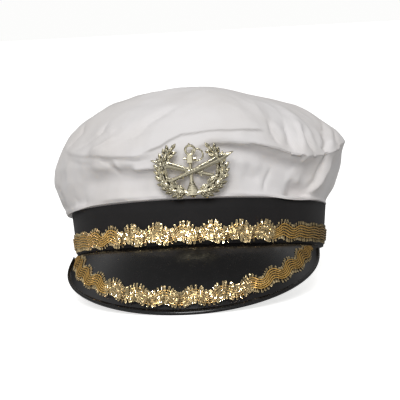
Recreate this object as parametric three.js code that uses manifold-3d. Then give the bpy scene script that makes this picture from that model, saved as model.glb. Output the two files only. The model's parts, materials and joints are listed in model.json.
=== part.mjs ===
// A captain's hat: white cloth crown over a black band, a moulded peak, gold braid and a cast badge.
// Lengths are in millimetres. The hat is drawn on the plane of the band's lower edge, front toward -Y,
// and then leant back as it lies on a table, on the peak's rim and the back of the band.

import * as THREE from "three";
import { mergeVertices } from "three/addons/utils/BufferGeometryUtils.js";
import Module from "manifold-3d";

const wasm = await Module();
wasm.setup();

// ---------------------------------------------------------------- driving dimensions

const GAP = 0.3; // left between pieces that touch
const LEAN_DEG = 11.5; // between the band's plane and the table
const REST_FLAT = 0.5; // how far the back of the band's edge is pressed flat on the table

const BAND = { halfWidth: 88, halfDepth: 100, height: 29.5, flare: 3, wall: 2, stations: 72 };

const PEAK = {
  reach: 28.3, // forward of the band at the centre
  leftSpanDeg: 72,
  rightSpanDeg: 69,
  turnDeg: -1.2,
  wall: 1.8,
  endReach: 2.4, // what is left of the reach and of the drop at each end
  endDrop: 2.6,
  sweep: { power: 2.8, taper: 1.2 }, // how squarely the rim's outline turns in toward its ends
  camber: 3, // how far the face bulges over a straight slope
  bead: 1.4, // radius of the rolled rim
  beadSpokesDeg: [110, 55, 0, -55, -110], // its corners, from the upper face round to the lower
  flange: 9, // height of the edge sewn up inside the band
  stations: 30,
  faceLevels: [0, 0.22, 0.46, 0.72, 0.955], // from the band to just inside the rim
};

const CLOTH = {
  wall: 1.5,
  tuck: 1.2, // how far the side's edge turns in over the band's upper edge
  turn: { out: 0.6, rise: 0.5 }, // the bend in that edge, just above the band
  rollRise: 4, // from the band's upper edge to the widest place of the roll over it
  crest: 0.46, // how far out from the apex the top stays level
  lift: 1.1, // how much of its height the top gains at the seam, for a shoulder of 1
  stations: 72,
  crowding: 0.35, // how much closer together the stations stand toward the front
  sideLevels: [0, 0.1, 0.2, 0.32, 0.45, 0.58, 0.71, 0.85, 1],
  topLevels: [1, 1.06, 1.14, 1.24, 1.36, 1.5, 1.65, 1.82],
};
const APEX = { x: 3, y: -6, z: 117.5 };
const MIDDLE_HEIGHT = 40; // folds push the cloth away from this place on the crown's axis
const FOLD_FADE = { from: 0.35, to: 0.6 }; // levels between which the folds fade in above the band

const BRAID = { width: 11.6, thickness: 1.4, swing: 2.4, lobe: 0.2, steps: 6 };
const BAND_BRAID = {
  height: 7.8, // of its middle above the band's lower edge, at the front
  backHeight: 9.2,
  period: 18.1, // from one lobe to the next
  crest: -2.7, // place of one upper lobe, from the middle of the front toward +X
  leadDeg: 66, // how much sooner than halfway between the upper lobes the lower ones come
};
const PEAK_BRAID = {
  inset: 10.2, // of its middle from the rim, at the front
  sideInset: 13.2,
  sideFrom: 0.1, // the inset grows between these places along the peak
  sideTo: 0.55,
  period: 18.9,
  crest: 5.4, // place of one lobe, from the braid's left end
  leadDeg: 0,
  bandClearance: 2.4, // between its ends and the band
  endWidth: 3,
  leastWidth: 1,
};

const BADGE = { azimuthDeg: 2.5, height: 47.5, out: 10.4, leanDeg: 19, bendRadius: 110 };
const PIN = { radius: 1.2, length: 9.5, discRadius: 5.5, discThickness: 1.6, hole: 2, sides: 16 };

// The crown's outline, section by section. Azimuth runs from the front, positive toward +X.
//   seamOut   how far the seam stands outside the band's upper edge
//   seamZ     height of the seam
//   belly     how far the side panel bulges (+) or is drawn in (-) between seam and band
//   hem       how far the cloth rolls out over the band
//   droop     how far that roll hangs below the band's upper edge
//   shoulder  how steeply the top rises from the seam: 0 is flat, 1 upright
const SECTIONS = [
  { azimuth: -155, seamOut: 11.0, seamZ: 68.0, belly: 1.0, hem: 2.5, droop: 0.5, shoulder: 0.55 },
  { azimuth: -120, seamOut: 10.0, seamZ: 70.0, belly: 4.0, hem: 4.0, droop: 1.5, shoulder: 0.56 },
  { azimuth: -90, seamOut: 9.0, seamZ: 72.0, belly: 7.0, hem: 5.0, droop: 2.5, shoulder: 0.57 },
  { azimuth: -62, seamOut: 9.5, seamZ: 67.0, belly: 4.0, hem: 4.0, droop: 2.2, shoulder: 0.62 },
  { azimuth: -45, seamOut: 10.5, seamZ: 61.0, belly: 0.0, hem: 2.5, droop: 0.6, shoulder: 0.64 },
  { azimuth: -26, seamOut: 11.0, seamZ: 56.5, belly: -3.0, hem: 1.8, droop: 0.0, shoulder: 0.64 },
  { azimuth: -11, seamOut: 11.0, seamZ: 57.0, belly: -2.5, hem: 1.5, droop: 0.0, shoulder: 0.64 },
  { azimuth: 5, seamOut: 10.8, seamZ: 63.0, belly: -1.5, hem: 1.5, droop: 0.0, shoulder: 0.62 },
  { azimuth: 18, seamOut: 11.0, seamZ: 66.0, belly: -3.0, hem: 1.5, droop: 0.0, shoulder: 0.6 },
  { azimuth: 32, seamOut: 12.0, seamZ: 62.0, belly: -4.5, hem: 1.8, droop: 0.5, shoulder: 0.58 },
  { azimuth: 48, seamOut: 13.5, seamZ: 57.0, belly: -5.0, hem: 2.5, droop: 2.6, shoulder: 0.54 },
  { azimuth: 66, seamOut: 15.5, seamZ: 62.0, belly: -2.0, hem: 1.2, droop: 1.0, shoulder: 0.48 },
  { azimuth: 88, seamOut: 17.0, seamZ: 74.5, belly: 1.5, hem: 0.6, droop: 0.0, shoulder: 0.47 },
  { azimuth: 120, seamOut: 14.0, seamZ: 71.0, belly: 1.0, hem: 1.5, droop: 0.3, shoulder: 0.48 },
  { azimuth: 155, seamOut: 11.5, seamZ: 67.0, belly: 0.5, hem: 2.0, droop: 0.5, shoulder: 0.52 },
];

// Main folds of the crown. Each runs between two places on the cloth, a place being an azimuth and
// a level: 0 is the edge on the band, 1 the seam, 2 the middle of the top.
//   width   half-width of the fold
//   rise    height of a ridge (+) or depth of a valley (-)
const FOLDS = [
  // gathers of the top, to the right of the badge
  { from: [41, 1.3], to: [35, 1.05], width: 4.5, rise: -2 },
  { from: [49, 1.32], to: [42, 1.03], width: 4.5, rise: -2.2 },
  { from: [60, 1.38], to: [49, 1.04], width: 5.5, rise: 2.2 },
  { from: [58, 1.24], to: [55.5, 1.03], width: 4, rise: -1.4 },
  { from: [76, 1.24], to: [60, 1], width: 4, rise: -2.4 },
  { from: [84, 1.16], to: [66, 1.05], width: 6, rise: 1.8 },
  // side panel, right
  { from: [68, 0.92], to: [61, 0.5], width: 7, rise: 3.4 },
  { from: [58, 0.94], to: [57, 0.6], width: 5, rise: -3 },
  { from: [14, 0.93], to: [50, 0.81], width: 6, rise: -2.4 },
  { from: [42, 0.52], to: [54, 0.47], width: 8, rise: -2.6 },
  // top, left
  { from: [-28, 1.14], to: [-41, 1.02], width: 3.5, rise: 2 },
  { from: [-26, 1.17], to: [-37, 1.08], width: 3, rise: -1.4 },
  { from: [-28, 1.09], to: [-6, 1.32], width: 5, rise: -1.6 },
  { from: [-60, 1.06], to: [-44, 1.24], width: 5, rise: -1.6 },
  // side panel, left
  { from: [-34, 1], to: [-27, 0.8], width: 3, rise: -2 },
  { from: [-14, 0.77], to: [-44, 0.74], width: 8, rise: -2.4 },
  { from: [-44, 0.74], to: [-54, 0.55], width: 8, rise: -2.6 },
  { from: [-20, 0.88], to: [-14, 0.87], width: 4, rise: 2 },
  // slack at the sides and back
  { from: [104, 0.95], to: [112, 0.55], width: 7, rise: -2 },
  { from: [138, 1.28], to: [148, 1.03], width: 7, rise: -2.2 },
  { from: [172, 0.9], to: [166, 0.5], width: 8, rise: 2 },
  { from: [-172, 1.35], to: [-160, 1.04], width: 7, rise: -2 },
  { from: [-140, 0.92], to: [-132, 0.5], width: 8, rise: -2.2 },
  { from: [-116, 1.25], to: [-108, 1.02], width: 6, rise: -2 },
];

// The badge is laid out on its own plane, [across, up] from the middle of its crossed blades.
// A bar tapers from its first width to its second.
const BADGE_BARS = [
  { part: "shank", from: [-0.7, 6], to: [0, -15.5], widths: [1.7, 2.6], thickness: 3.2 },
  { part: "stock", from: [-4.6, 7.6], to: [3.2, 7.6], widths: [2.2, 2.2], thickness: 2.8 },
  { part: "stock block", from: [-0.8, 4.9], to: [-0.8, 10.2], widths: [3.8, 3.4], thickness: 3.6 },
  { part: "knob", from: [-1.1, 15.8], to: [-1, 17.6], widths: [1.8, 0.8], thickness: 1.8 },
  { part: "rear blade", from: [-25.8, 6.4], to: [13.6, -4.1], widths: [2.6, 1.6], thickness: 2.2 },
  { part: "front blade", from: [27, 10.4], to: [-13.8, -6.8], widths: [2.8, 1.8], thickness: 2.6 },
  { part: "left guard", from: [-7.2, -2.2], to: [-5.4, -6], widths: [1.2, 1.2], thickness: 2.4 },
  { part: "right guard", from: [7.2, -0.4], to: [5.9, -4.4], widths: [1.2, 1.2], thickness: 2.4 },
];
const BADGE_RINGS = [
  { part: "anchor's ring", centre: [-1.2, 13.2], radius: 3.1, tube: 0.8 },
  { part: "rope's loop", centre: [3.9, 9.9], radius: 3.9, tube: 0.7 },
];
const RING_FACETS = { section: 5, round: 14 };
const BAR_STEP = 9; // a bar is divided at least this often, so that it can bend
// The anchor's arms lie between two arcs, each given by its two radii and its middle's height.
const ARMS = {
  lower: { across: 14.8, up: 14.6, middle: -2.4, fromDeg: 195, toDeg: 345 },
  upper: { across: 13.3, up: 12.6, middle: -1.2, fromDeg: 198, toDeg: 342 },
  foot: [1.2, -18.4],
  steps: 12,
  thickness: 2.6,
};
const LAUREL = {
  stem: [
    [2, -15.5],
    [11, -14],
    [18, -8.5],
    [20.5, 0],
    [18, 7.5],
    [12.5, 14],
  ],
  stemRadius: 0.7,
  stemSides: 5,
  stemSteps: 9,
  leafPairs: 8,
  firstLeaf: 0.16, // share of the stem left bare at its foot
  spreadDeg: 38, // between a leaf and the stem
  leafOffset: 2.1, // from the stem to the leaf's middle
  leafLength: 6.6,
  leafWidth: 3.14,
  leafThickness: 2,
};

// ---------------------------------------------------------------- shared geometry

const rad = THREE.MathUtils.degToRad;
const { lerp } = THREE.MathUtils;

/** Height of the table in the hat's own plane, at a distance y toward the back. */
function tableHeight(y) {
  return REST_FLAT + (y - BAND.halfDepth) * Math.tan(rad(LEAN_DEG));
}

/** A point standing `out` outside the ellipse of the band's lower edge. */
function aroundBand(azimuth, out, z) {
  return new THREE.Vector3(
    (BAND.halfWidth + out) * Math.sin(azimuth),
    -(BAND.halfDepth + out) * Math.cos(azimuth),
    z,
  );
}

/** One closed solid from points and triangles, with its faces turned outward. */
function closedSolid(points, triangles) {
  const cross = new THREE.Vector3();
  const volume = triangles.reduce(
    (sum, [a, b, c]) => sum + points[a].dot(cross.crossVectors(points[b], points[c])),
    0,
  );
  const facing = volume > 0 ? triangles : triangles.map(([a, b, c]) => [a, c, b]);
  const geometry = new THREE.BufferGeometry().setFromPoints(points);
  geometry.setIndex(facing.flat());
  return geometry;
}

/**
 * Skins a row of closed sections. The row returns to its start, or both ends are capped with
 * triangles that wind against the section's own order.
 */
function loft(sections, cap) {
  const count = sections[0].length;
  const spans = cap ? sections.length - 1 : sections.length;
  const triangles = [];
  for (let i = 0; i < spans; i += 1) {
    const here = i * count;
    const next = ((i + 1) % sections.length) * count;
    for (let j = 0; j < count; j += 1) {
      const k = (j + 1) % count;
      triangles.push([here + j, next + j, next + k], [here + j, next + k, here + k]);
    }
  }
  if (cap) {
    const end = spans * count;
    for (const [a, b, c] of cap) {
      triangles.push([c, b, a], [end + a, end + b, end + c]);
    }
  }
  return closedSolid(sections.flat(), triangles);
}

function manifoldFrom(geometry) {
  const bare = geometry.clone();
  bare.deleteAttribute("normal");
  bare.deleteAttribute("uv");
  const merged = mergeVertices(bare);
  const mesh = new wasm.Mesh({
    numProp: 3,
    vertProperties: new Float32Array(merged.attributes.position.array),
    triVerts: new Uint32Array(merged.index.array),
  });
  return new wasm.Manifold(mesh);
}

function geometryFrom(manifold) {
  const mesh = manifold.getMesh();
  const geometry = new THREE.BufferGeometry();
  geometry.setAttribute("position", new THREE.BufferAttribute(mesh.vertProperties, 3));
  geometry.setIndex(new THREE.BufferAttribute(mesh.triVerts, 1));
  return geometry;
}

// ---------------------------------------------------------------- band

/** The stiff cloth band: a ring of four-cornered sections, flat on the table at the very back. */
function bandGeometry() {
  const corners = [
    { out: 0, z: 0 },
    { out: BAND.flare, z: BAND.height },
    { out: BAND.flare - BAND.wall, z: BAND.height },
    { out: -BAND.wall, z: 0 },
  ];
  const sections = [];
  for (let i = 0; i < BAND.stations; i += 1) {
    const azimuth = (2 * Math.PI * i) / BAND.stations;
    sections.push(
      corners.map(({ out, z }) => {
        const point = aroundBand(azimuth, out, z);
        point.z = Math.max(point.z, tableHeight(point.y));
        return point;
      }),
    );
  }
  return loft(sections);
}

// ---------------------------------------------------------------- peak

/** Drop of the peak's rim at the centre, where its bead meets the table. */
function peakDrop() {
  return -tableHeight(-(BAND.halfDepth + PEAK.reach)) - PEAK.bead / Math.cos(rad(LEAN_DEG));
}

function peakAzimuth(u) {
  return rad(PEAK.turnDeg + u * (u < 0 ? PEAK.leftSpanDeg : PEAK.rightSpanDeg));
}

/**
 * The peak's upper face in the plane of one azimuth. u runs from -1 at the left end to 1 at the
 * right, and t from 0 at the band to 1 at the rim. x is the distance out and y the height.
 */
function peakFace(u, t) {
  const fullness = Math.max(0, 1 - Math.abs(u) ** PEAK.sweep.power) ** PEAK.sweep.taper;
  const reach = lerp(PEAK.endReach, PEAK.reach, fullness);
  const drop = lerp(PEAK.endDrop, peakDrop(), Math.cos((Math.PI / 2) * u));
  const slope = new THREE.Vector2(reach, GAP - drop);
  const length = slope.length();
  const bulge = PEAK.camber * 4 * t * (1 - t) * (length / Math.hypot(PEAK.reach, peakDrop())) ** 2;
  return new THREE.Vector2(
    reach * t + (drop / length) * bulge,
    -GAP + slope.y * t + (reach / length) * bulge,
  );
}

/** The direction along the face toward the rim, in the same plane. */
function peakSlope(u, t) {
  const step = 0.01;
  return peakFace(u, Math.min(t, 1 - step) + step)
    .sub(peakFace(u, Math.min(t, 1 - step)))
    .normalize();
}

/** The peak cut across at one azimuth: flange, upper face, rolled rim and underside. */
function peakOutline(u) {
  const flangeOuter = -(BAND.wall + GAP);
  const flangeInner = flangeOuter - PEAK.wall;
  const outline = [
    new THREE.Vector2(flangeInner, PEAK.flange),
    new THREE.Vector2(flangeOuter, PEAK.flange),
    new THREE.Vector2(flangeOuter, -GAP),
  ];
  outline.push(...PEAK.faceLevels.map((t) => peakFace(u, t)));
  const rim = peakFace(u, 1);
  const along = peakSlope(u, 1);
  for (const turnDeg of PEAK.beadSpokesDeg) {
    const spoke = along.clone().rotateAround(new THREE.Vector2(), rad(turnDeg));
    outline.push(rim.clone().addScaledVector(spoke, PEAK.bead));
  }
  for (const t of PEAK.faceLevels.slice(1, -1).toReversed()) {
    const down = peakSlope(u, t).rotateAround(new THREE.Vector2(), -Math.PI / 2);
    outline.push(peakFace(u, t).addScaledVector(down, PEAK.wall));
  }
  outline.push(new THREE.Vector2(flangeInner, -GAP - PEAK.wall));
  return outline;
}

function peakGeometry() {
  const sections = [];
  for (let i = 0; i <= PEAK.stations; i += 1) {
    const u = (2 * i) / PEAK.stations - 1;
    sections.push(peakOutline(u).map(({ x, y }) => aroundBand(peakAzimuth(u), x, y)));
  }
  return loft(sections, THREE.ShapeUtils.triangulateShape(peakOutline(-1), []));
}

// ---------------------------------------------------------------- crown

/** The crown's section at any azimuth, eased between the rows of the table. */
function sectionAt(azimuthDeg) {
  const count = SECTIONS.length;
  const row = (i) => SECTIONS[THREE.MathUtils.euclideanModulo(i, count)];
  const angle = (i) => row(i).azimuth + 360 * Math.floor(i / count);
  const turn = angle(0) + THREE.MathUtils.euclideanModulo(azimuthDeg - angle(0), 360);
  let i = 0;
  while (angle(i + 1) <= turn) {
    i += 1;
  }
  const span = angle(i + 1) - angle(i);
  const t = (turn - angle(i)) / span;
  const ease = (name) => {
    const slope = (k) => ((row(k + 1)[name] - row(k - 1)[name]) / (angle(k + 1) - angle(k - 1))) * span;
    const [a, b] = [row(i)[name], row(i + 1)[name]];
    const rise = (3 - 2 * t) * t * t;
    return lerp(a, b, rise) + slope(i) * t * (1 - t) ** 2 - slope(i + 1) * t * t * (1 - t);
  };
  return Object.fromEntries(Object.keys(row(i)).map((name) => [name, ease(name)]));
}

/** Side panel of one section, from the edge on the band (t = 0) to the seam (t = 1). */
function sideProfile(section, t) {
  const { seamOut, seamZ, belly, hem, droop } = section;
  const { tuck, turn, rollRise } = CLOTH;
  const top = BAND.height;
  const foot = { out: hem, z: top + rollRise - 0.6 * droop };
  const between = (s, bulge) =>
    new THREE.Vector2(lerp(foot.out, seamOut, s) + bulge, lerp(foot.z, seamZ, s));
  const curve = new THREE.SplineCurve([
    new THREE.Vector2(-tuck, top + turn.rise + 0.2),
    new THREE.Vector2(turn.out, top + turn.rise),
    new THREE.Vector2(lerp(1, hem, 0.5), top + turn.rise + 0.4 - droop),
    between(0, 0),
    between(0.35, 0.9 * belly),
    between(0.7, 0.8 * belly),
    new THREE.Vector2(seamOut, seamZ),
  ]);
  return curve.getPoint(t);
}

/** The cloth before it is creased. */
function smoothCloth(azimuthDeg, level) {
  const section = sectionAt(azimuthDeg);
  const azimuth = rad(azimuthDeg);
  if (level <= 1) {
    const { x, y } = sideProfile(section, level);
    return aroundBand(azimuth, BAND.flare + x, y);
  }
  const profile = new THREE.CubicBezierCurve(
    new THREE.Vector2(1, 0),
    new THREE.Vector2(lerp(0.75, 1, section.shoulder), CLOTH.lift * section.shoulder),
    new THREE.Vector2(CLOTH.crest, 1),
    new THREE.Vector2(0, 1),
  );
  const { x: spread, y: rise } = profile.getPoint(level - 1);
  const seam = aroundBand(azimuth, BAND.flare + section.seamOut, section.seamZ);
  return new THREE.Vector3(
    lerp(APEX.x, seam.x, spread),
    lerp(APEX.y, seam.y, spread),
    lerp(seam.z, APEX.z, rise),
  );
}

const FOLD_LINES = FOLDS.map(({ from, to, width, rise }) => {
  const steps = 6;
  const points = [];
  for (let i = 0; i <= steps; i += 1) {
    points.push(smoothCloth(lerp(from[0], to[0], i / steps), lerp(from[1], to[1], i / steps)));
  }
  return { points, width, rise };
});

/** How far the folds lift or sink the cloth at a point. */
function foldLift(point) {
  const nearest = new THREE.Vector3();
  const segment = new THREE.Line3();
  return FOLD_LINES.reduce((sum, { points, width, rise }) => {
    let distance = Infinity;
    for (let i = 1; i < points.length; i += 1) {
      segment.set(points[i - 1], points[i]).closestPointToPoint(point, true, nearest);
      distance = Math.min(distance, nearest.distanceTo(point));
    }
    return sum + rise * Math.exp(-((distance / width) ** 2));
  }, 0);
}

/** The creased cloth's outer surface. */
function clothPoint(azimuthDeg, level) {
  const point = smoothCloth(azimuthDeg, level);
  const middle = new THREE.Vector3(0, 0, MIDDLE_HEIGHT);
  const outward = point.clone().sub(middle).normalize();
  const slack = THREE.MathUtils.smoothstep(level, FOLD_FADE.from, FOLD_FADE.to);
  return point.addScaledVector(outward, slack * foldLift(point));
}

/** Outward direction of the cloth. At the seam, where two pieces meet, it is level. */
function clothNormal(azimuthDeg, level) {
  if (level === 1) {
    return aroundBand(rad(azimuthDeg), 0, 0).normalize();
  }
  if (level === 2) {
    return new THREE.Vector3(0, 0, 1);
  }
  const turn = 0.5;
  const step = 0.02;
  const [low, high] = level < 1 ? [0, 1] : [1, 2];
  const around = clothPoint(azimuthDeg + turn, level).sub(clothPoint(azimuthDeg - turn, level));
  const upward = clothPoint(azimuthDeg, Math.min(level + step, high)).sub(
    clothPoint(azimuthDeg, Math.max(level - step, low)),
  );
  return around.cross(upward).normalize();
}

/** Azimuths of the cloth's stations, closer together toward the creased front. */
const CLOTH_AZIMUTHS = Array.from({ length: CLOTH.stations }, (_, i) => {
  const turn = (2 * Math.PI * i) / CLOTH.stations;
  return THREE.MathUtils.radToDeg(turn - CLOTH.crowding * Math.sin(turn));
});

/** One place on the cloth's outer (depth 0) or inner (depth 1) face, half a gap off the seam. */
function clothFace(azimuthDeg, level, depth, seamShift) {
  const point = clothPoint(azimuthDeg, level);
  point.addScaledVector(clothNormal(azimuthDeg, level), -depth * CLOTH.wall);
  if (level === 1) {
    point.z += seamShift;
  }
  return point;
}

function crownSideGeometry() {
  const levels = CLOTH.sideLevels;
  const sections = CLOTH_AZIMUTHS.map((azimuthDeg) => [
    ...levels.map((level) => clothFace(azimuthDeg, level, 0, -GAP / 2)),
    ...levels.toReversed().map((level) => clothFace(azimuthDeg, level, 1, -GAP / 2)),
  ]);
  return loft(sections);
}

function crownTopGeometry() {
  const levels = CLOTH.topLevels;
  const count = CLOTH.stations;
  const points = [];
  for (const depth of [0, 1]) {
    for (const level of levels) {
      points.push(...CLOTH_AZIMUTHS.map((azimuthDeg) => clothFace(azimuthDeg, level, depth, GAP / 2)));
    }
    points.push(clothFace(0, 2, depth, 0));
  }
  const apex = levels.length * count;
  const inner = apex + 1;
  const triangles = [];
  for (let i = 0; i < count; i += 1) {
    const k = (i + 1) % count;
    for (let ring = 0; ring < levels.length - 1; ring += 1) {
      const [a, b] = [ring * count + i, ring * count + k];
      const [c, d] = [a + count, b + count];
      triangles.push([a, b, d], [a, d, c]);
      triangles.push([inner + a, inner + d, inner + b], [inner + a, inner + c, inner + d]);
    }
    const [a, b] = [apex - count + i, apex - count + k];
    triangles.push([a, b, apex], [inner + b, inner + a, inner + apex]);
    triangles.push([k, i, inner + i], [k, inner + i, inner + k]);
  }
  return closedSolid(points, triangles);
}

// ---------------------------------------------------------------- braid

/** Height of a braid's two edges above its middle line, at a place along it. */
function braidEdges(along, { period, crest, leadDeg }) {
  const { width, swing, lobe } = BRAID;
  const phase = (2 * Math.PI * (along - crest)) / period;
  const lowerPhase = phase + rad(leadDeg);
  return {
    upper: width / 2 + swing * (Math.cos(phase) - lobe * Math.cos(2 * phase)),
    lower: -width / 2 + swing * (Math.cos(lowerPhase) + lobe * Math.cos(2 * lowerPhase)),
  };
}

/** Four corners of a ribbon lying on two places of a surface, each with its own normal. */
function ribbonSection(lower, upper) {
  const raised = ({ point, normal }, height) => point.clone().addScaledVector(normal, height);
  return [
    raised(lower, GAP),
    raised(lower, GAP + BRAID.thickness),
    raised(upper, GAP + BRAID.thickness),
    raised(upper, GAP),
  ];
}

/** The braid round the lower half of the band, closed on itself. */
function bandBraidGeometry() {
  const round = new THREE.EllipseCurve(0, 0, BAND.halfDepth, BAND.halfWidth);
  const length = round.getLength();
  const repeats = Math.round(length / BAND_BRAID.period);
  const wave = { ...BAND_BRAID, period: length / repeats };
  const flareAngle = Math.atan2(BAND.flare, BAND.height);
  const count = repeats * BRAID.steps;
  const sections = [];
  for (let i = 0; i < count; i += 1) {
    const share = THREE.MathUtils.euclideanModulo(wave.crest / length + i / count, 1);
    const { x: forward, y: across } = round.getPointAt(share);
    const azimuth = Math.atan2(across / BAND.halfWidth, forward / BAND.halfDepth);
    const { x: tangentForward, y: tangentAcross } = round.getTangentAt(share);
    const normal = new THREE.Vector3(tangentForward, tangentAcross, 0);
    normal.multiplyScalar(-Math.cos(flareAngle)).setZ(-Math.sin(flareAngle));
    const edges = braidEdges(share * length, wave);
    const middle = lerp(wave.height, wave.backHeight, (1 - Math.cos(azimuth)) / 2);
    const onBand = (edge) => {
      const height = middle + edge;
      const out = (BAND.flare * height) / BAND.height;
      return { point: aroundBand(azimuth, out, height), normal };
    };
    sections.push(ribbonSection(onBand(edges.lower), onBand(edges.upper)));
  }
  return loft(sections);
}

function peakLength(u) {
  return peakFace(u, 1).distanceTo(peakFace(u, 0));
}

/** A place on the peak's upper face, by its distance from the rim. */
function peakPlace(u, fromRim) {
  const onFace = (across, t) => {
    const { x, y } = peakFace(across, t);
    return aroundBand(peakAzimuth(across), x, y);
  };
  const t = 1 - fromRim / peakLength(u);
  const step = 0.01;
  const sideways = onFace(u + step, t).sub(onFace(u - step, t));
  const downward = onFace(u, t + step).sub(onFace(u, t - step));
  return { point: onFace(u, t), normal: downward.cross(sideways).normalize() };
}

/** The braid along the peak's rim, whose two ends run up under the braid on the band. */
function peakBraidGeometry() {
  const { inset, sideInset, period, bandClearance, endWidth, leastWidth } = PEAK_BRAID;
  const insetAt = (u) => {
    const side = THREE.MathUtils.smoothstep(Math.abs(u), PEAK_BRAID.sideFrom, PEAK_BRAID.sideTo);
    return lerp(inset, sideInset, side);
  };
  const endLength = sideInset - BRAID.width / 2 + bandClearance + endWidth;
  const search = 0.002;
  let end = 1;
  while (peakLength(end) < endLength) {
    end -= search;
  }
  const middle = [];
  const points = 80;
  for (let i = 0; i <= points; i += 1) {
    const u = lerp(-end, end, i / points);
    middle.push(peakPlace(u, insetAt(u)).point);
  }
  const line = new THREE.CatmullRomCurve3(middle);
  const length = line.getLength();
  const count = Math.round(length / period) * BRAID.steps;
  const sections = [];
  for (let i = 0; i <= count; i += 1) {
    const u = lerp(-end, end, line.getUtoTmapping(i / count));
    const edges = braidEdges((length * i) / count, PEAK_BRAID);
    const highest = peakLength(u) - bandClearance;
    const upper = Math.min(insetAt(u) + edges.upper, highest);
    const lower = Math.min(insetAt(u) + edges.lower, upper - leastWidth);
    sections.push(ribbonSection(peakPlace(u, lower), peakPlace(u, upper)));
  }
  return loft(sections, [
    [2, 1, 0],
    [3, 2, 0],
  ]);
}

// ---------------------------------------------------------------- badge

/** Makes one piece of the casting, bent back round the crown like the rest of the badge. */
function cast(geometry) {
  const { position } = geometry.attributes;
  for (let i = 0; i < position.count; i += 1) {
    const setBack = position.getX(i) ** 2 / (2 * BADGE.bendRadius);
    position.setY(i, position.getY(i) + setBack);
  }
  return manifoldFrom(geometry);
}

/** A flat outline standing `thickness` forward of the badge's back. */
function plate(outline, thickness) {
  const shape = new THREE.Shape(outline.map(([x, z]) => new THREE.Vector2(x, z)));
  const geometry = new THREE.ExtrudeGeometry(shape, { depth: thickness, bevelEnabled: false });
  return cast(geometry.rotateX(Math.PI / 2));
}

/** A straight bar between two places. */
function bar({ from, to, widths, thickness }) {
  const length = Math.hypot(to[0] - from[0], to[1] - from[1]);
  const geometry = new THREE.BoxGeometry(length, thickness, 1, Math.ceil(length / BAR_STEP), 1, 1);
  const { position } = geometry.attributes;
  for (let i = 0; i < position.count; i += 1) {
    position.setZ(i, position.getZ(i) * lerp(...widths, position.getX(i) / length + 0.5));
  }
  geometry.rotateY(-Math.atan2(to[1] - from[1], to[0] - from[0]));
  geometry.translate((from[0] + to[0]) / 2, -thickness / 2, (from[1] + to[1]) / 2);
  return cast(geometry);
}

/** A round ring lying in the badge's plane. */
function ring({ centre, radius, tube }) {
  const geometry = new THREE.TorusGeometry(radius, tube, RING_FACETS.section, RING_FACETS.round);
  return cast(geometry.rotateX(Math.PI / 2).translate(centre[0], -tube, centre[1]));
}

/** A laurel leaf: a lozenge with a flat back, raised to a point in front. */
function leaf(x, z, turnDeg) {
  const { leafLength, leafWidth, leafThickness } = LAUREL;
  const geometry = new THREE.ConeGeometry(1, 1, 4);
  geometry.rotateX(Math.PI).translate(0, -0.5, 0);
  geometry.scale(leafLength / 2, leafThickness, leafWidth / 2);
  return cast(geometry.rotateY(-rad(turnDeg)).translate(x, 0, z));
}

/** Corners of a regular polygon, for a round rod's section. */
function circlePoints(radius, count) {
  return Array.from({ length: count }, (_, i) => {
    const turn = (2 * Math.PI * i) / count;
    return new THREE.Vector2(radius * Math.cos(turn), radius * Math.sin(turn));
  });
}

/** One laurel branch, its stem an arc that rises from the anchor's foot on one side. */
function laurel(side) {
  const { stemRadius, stemSides, stemSteps, leafPairs, firstLeaf, spreadDeg, leafOffset } = LAUREL;
  const stem = new THREE.CatmullRomCurve3(
    LAUREL.stem.map(([x, z]) => new THREE.Vector3(side * x, -stemRadius, z)),
  );
  const rod = new THREE.ExtrudeGeometry(new THREE.Shape(circlePoints(stemRadius, stemSides)), {
    steps: stemSteps,
    extrudePath: stem,
    bevelEnabled: false,
  });
  const pieces = [cast(rod)];
  for (let i = 0; i < leafPairs; i += 1) {
    const t = lerp(firstLeaf, 1, i / (leafPairs - 1));
    const { x, z } = stem.getPointAt(t);
    const heading = stem.getTangentAt(t);
    for (const turnDeg of [-spreadDeg, spreadDeg]) {
      const lean = Math.atan2(heading.z, heading.x) + rad(turnDeg);
      const leafX = x + leafOffset * Math.cos(lean);
      const leafZ = z + leafOffset * Math.sin(lean);
      pieces.push(leaf(leafX, leafZ, THREE.MathUtils.radToDeg(lean)));
    }
  }
  return pieces;
}

/** The anchor's arms: a crescent with a pointed foot. */
function anchorArms() {
  const { lower, upper, foot, steps } = ARMS;
  const onArc = (arc, t) => {
    const turn = rad(lerp(arc.fromDeg, arc.toDeg, t));
    return [arc.across * Math.cos(turn), arc.middle + arc.up * Math.sin(turn)];
  };
  const places = Array.from({ length: steps + 1 }, (_, i) => i / steps);
  const outline = places.map((t) => onArc(lower, t));
  outline.splice(steps / 2 + 1, 0, foot);
  outline.push(...places.toReversed().map((t) => onArc(upper, t)));
  return plate(outline, ARMS.thickness);
}

/** One cast piece: anchor, crossed blades, a rope's loop and two laurel branches. */
function badgeGeometry() {
  const pieces = [
    ...BADGE_BARS.map(bar),
    ...BADGE_RINGS.map(ring),
    anchorArms(),
    ...laurel(-1),
    ...laurel(1),
  ];
  return geometryFrom(pieces.reduce((sum, next) => sum.add(next)));
}

/** Places a group where the badge sits on the crown's front, its own front along -Y. */
function seatOnFront(group) {
  const seat = aroundBand(rad(BADGE.azimuthDeg), BADGE.out, BADGE.height);
  group.position.copy(seat);
  group.rotation.set(rad(BADGE.leanDeg), 0, rad(BADGE.azimuthDeg), "ZYX");
  return group;
}

/** The hidden pin behind the badge, with the disc that holds it inside the crown. */
function pinGeometry() {
  const { radius, length, discRadius, discThickness } = PIN;
  const profile = [
    new THREE.Vector2(0, GAP),
    new THREE.Vector2(radius, GAP),
    new THREE.Vector2(radius, length - discThickness),
    new THREE.Vector2(discRadius, length - discThickness),
    new THREE.Vector2(discRadius, length),
    new THREE.Vector2(0, length),
  ];
  return new THREE.LatheGeometry(profile, PIN.sides);
}

// ---------------------------------------------------------------- assembly

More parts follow.
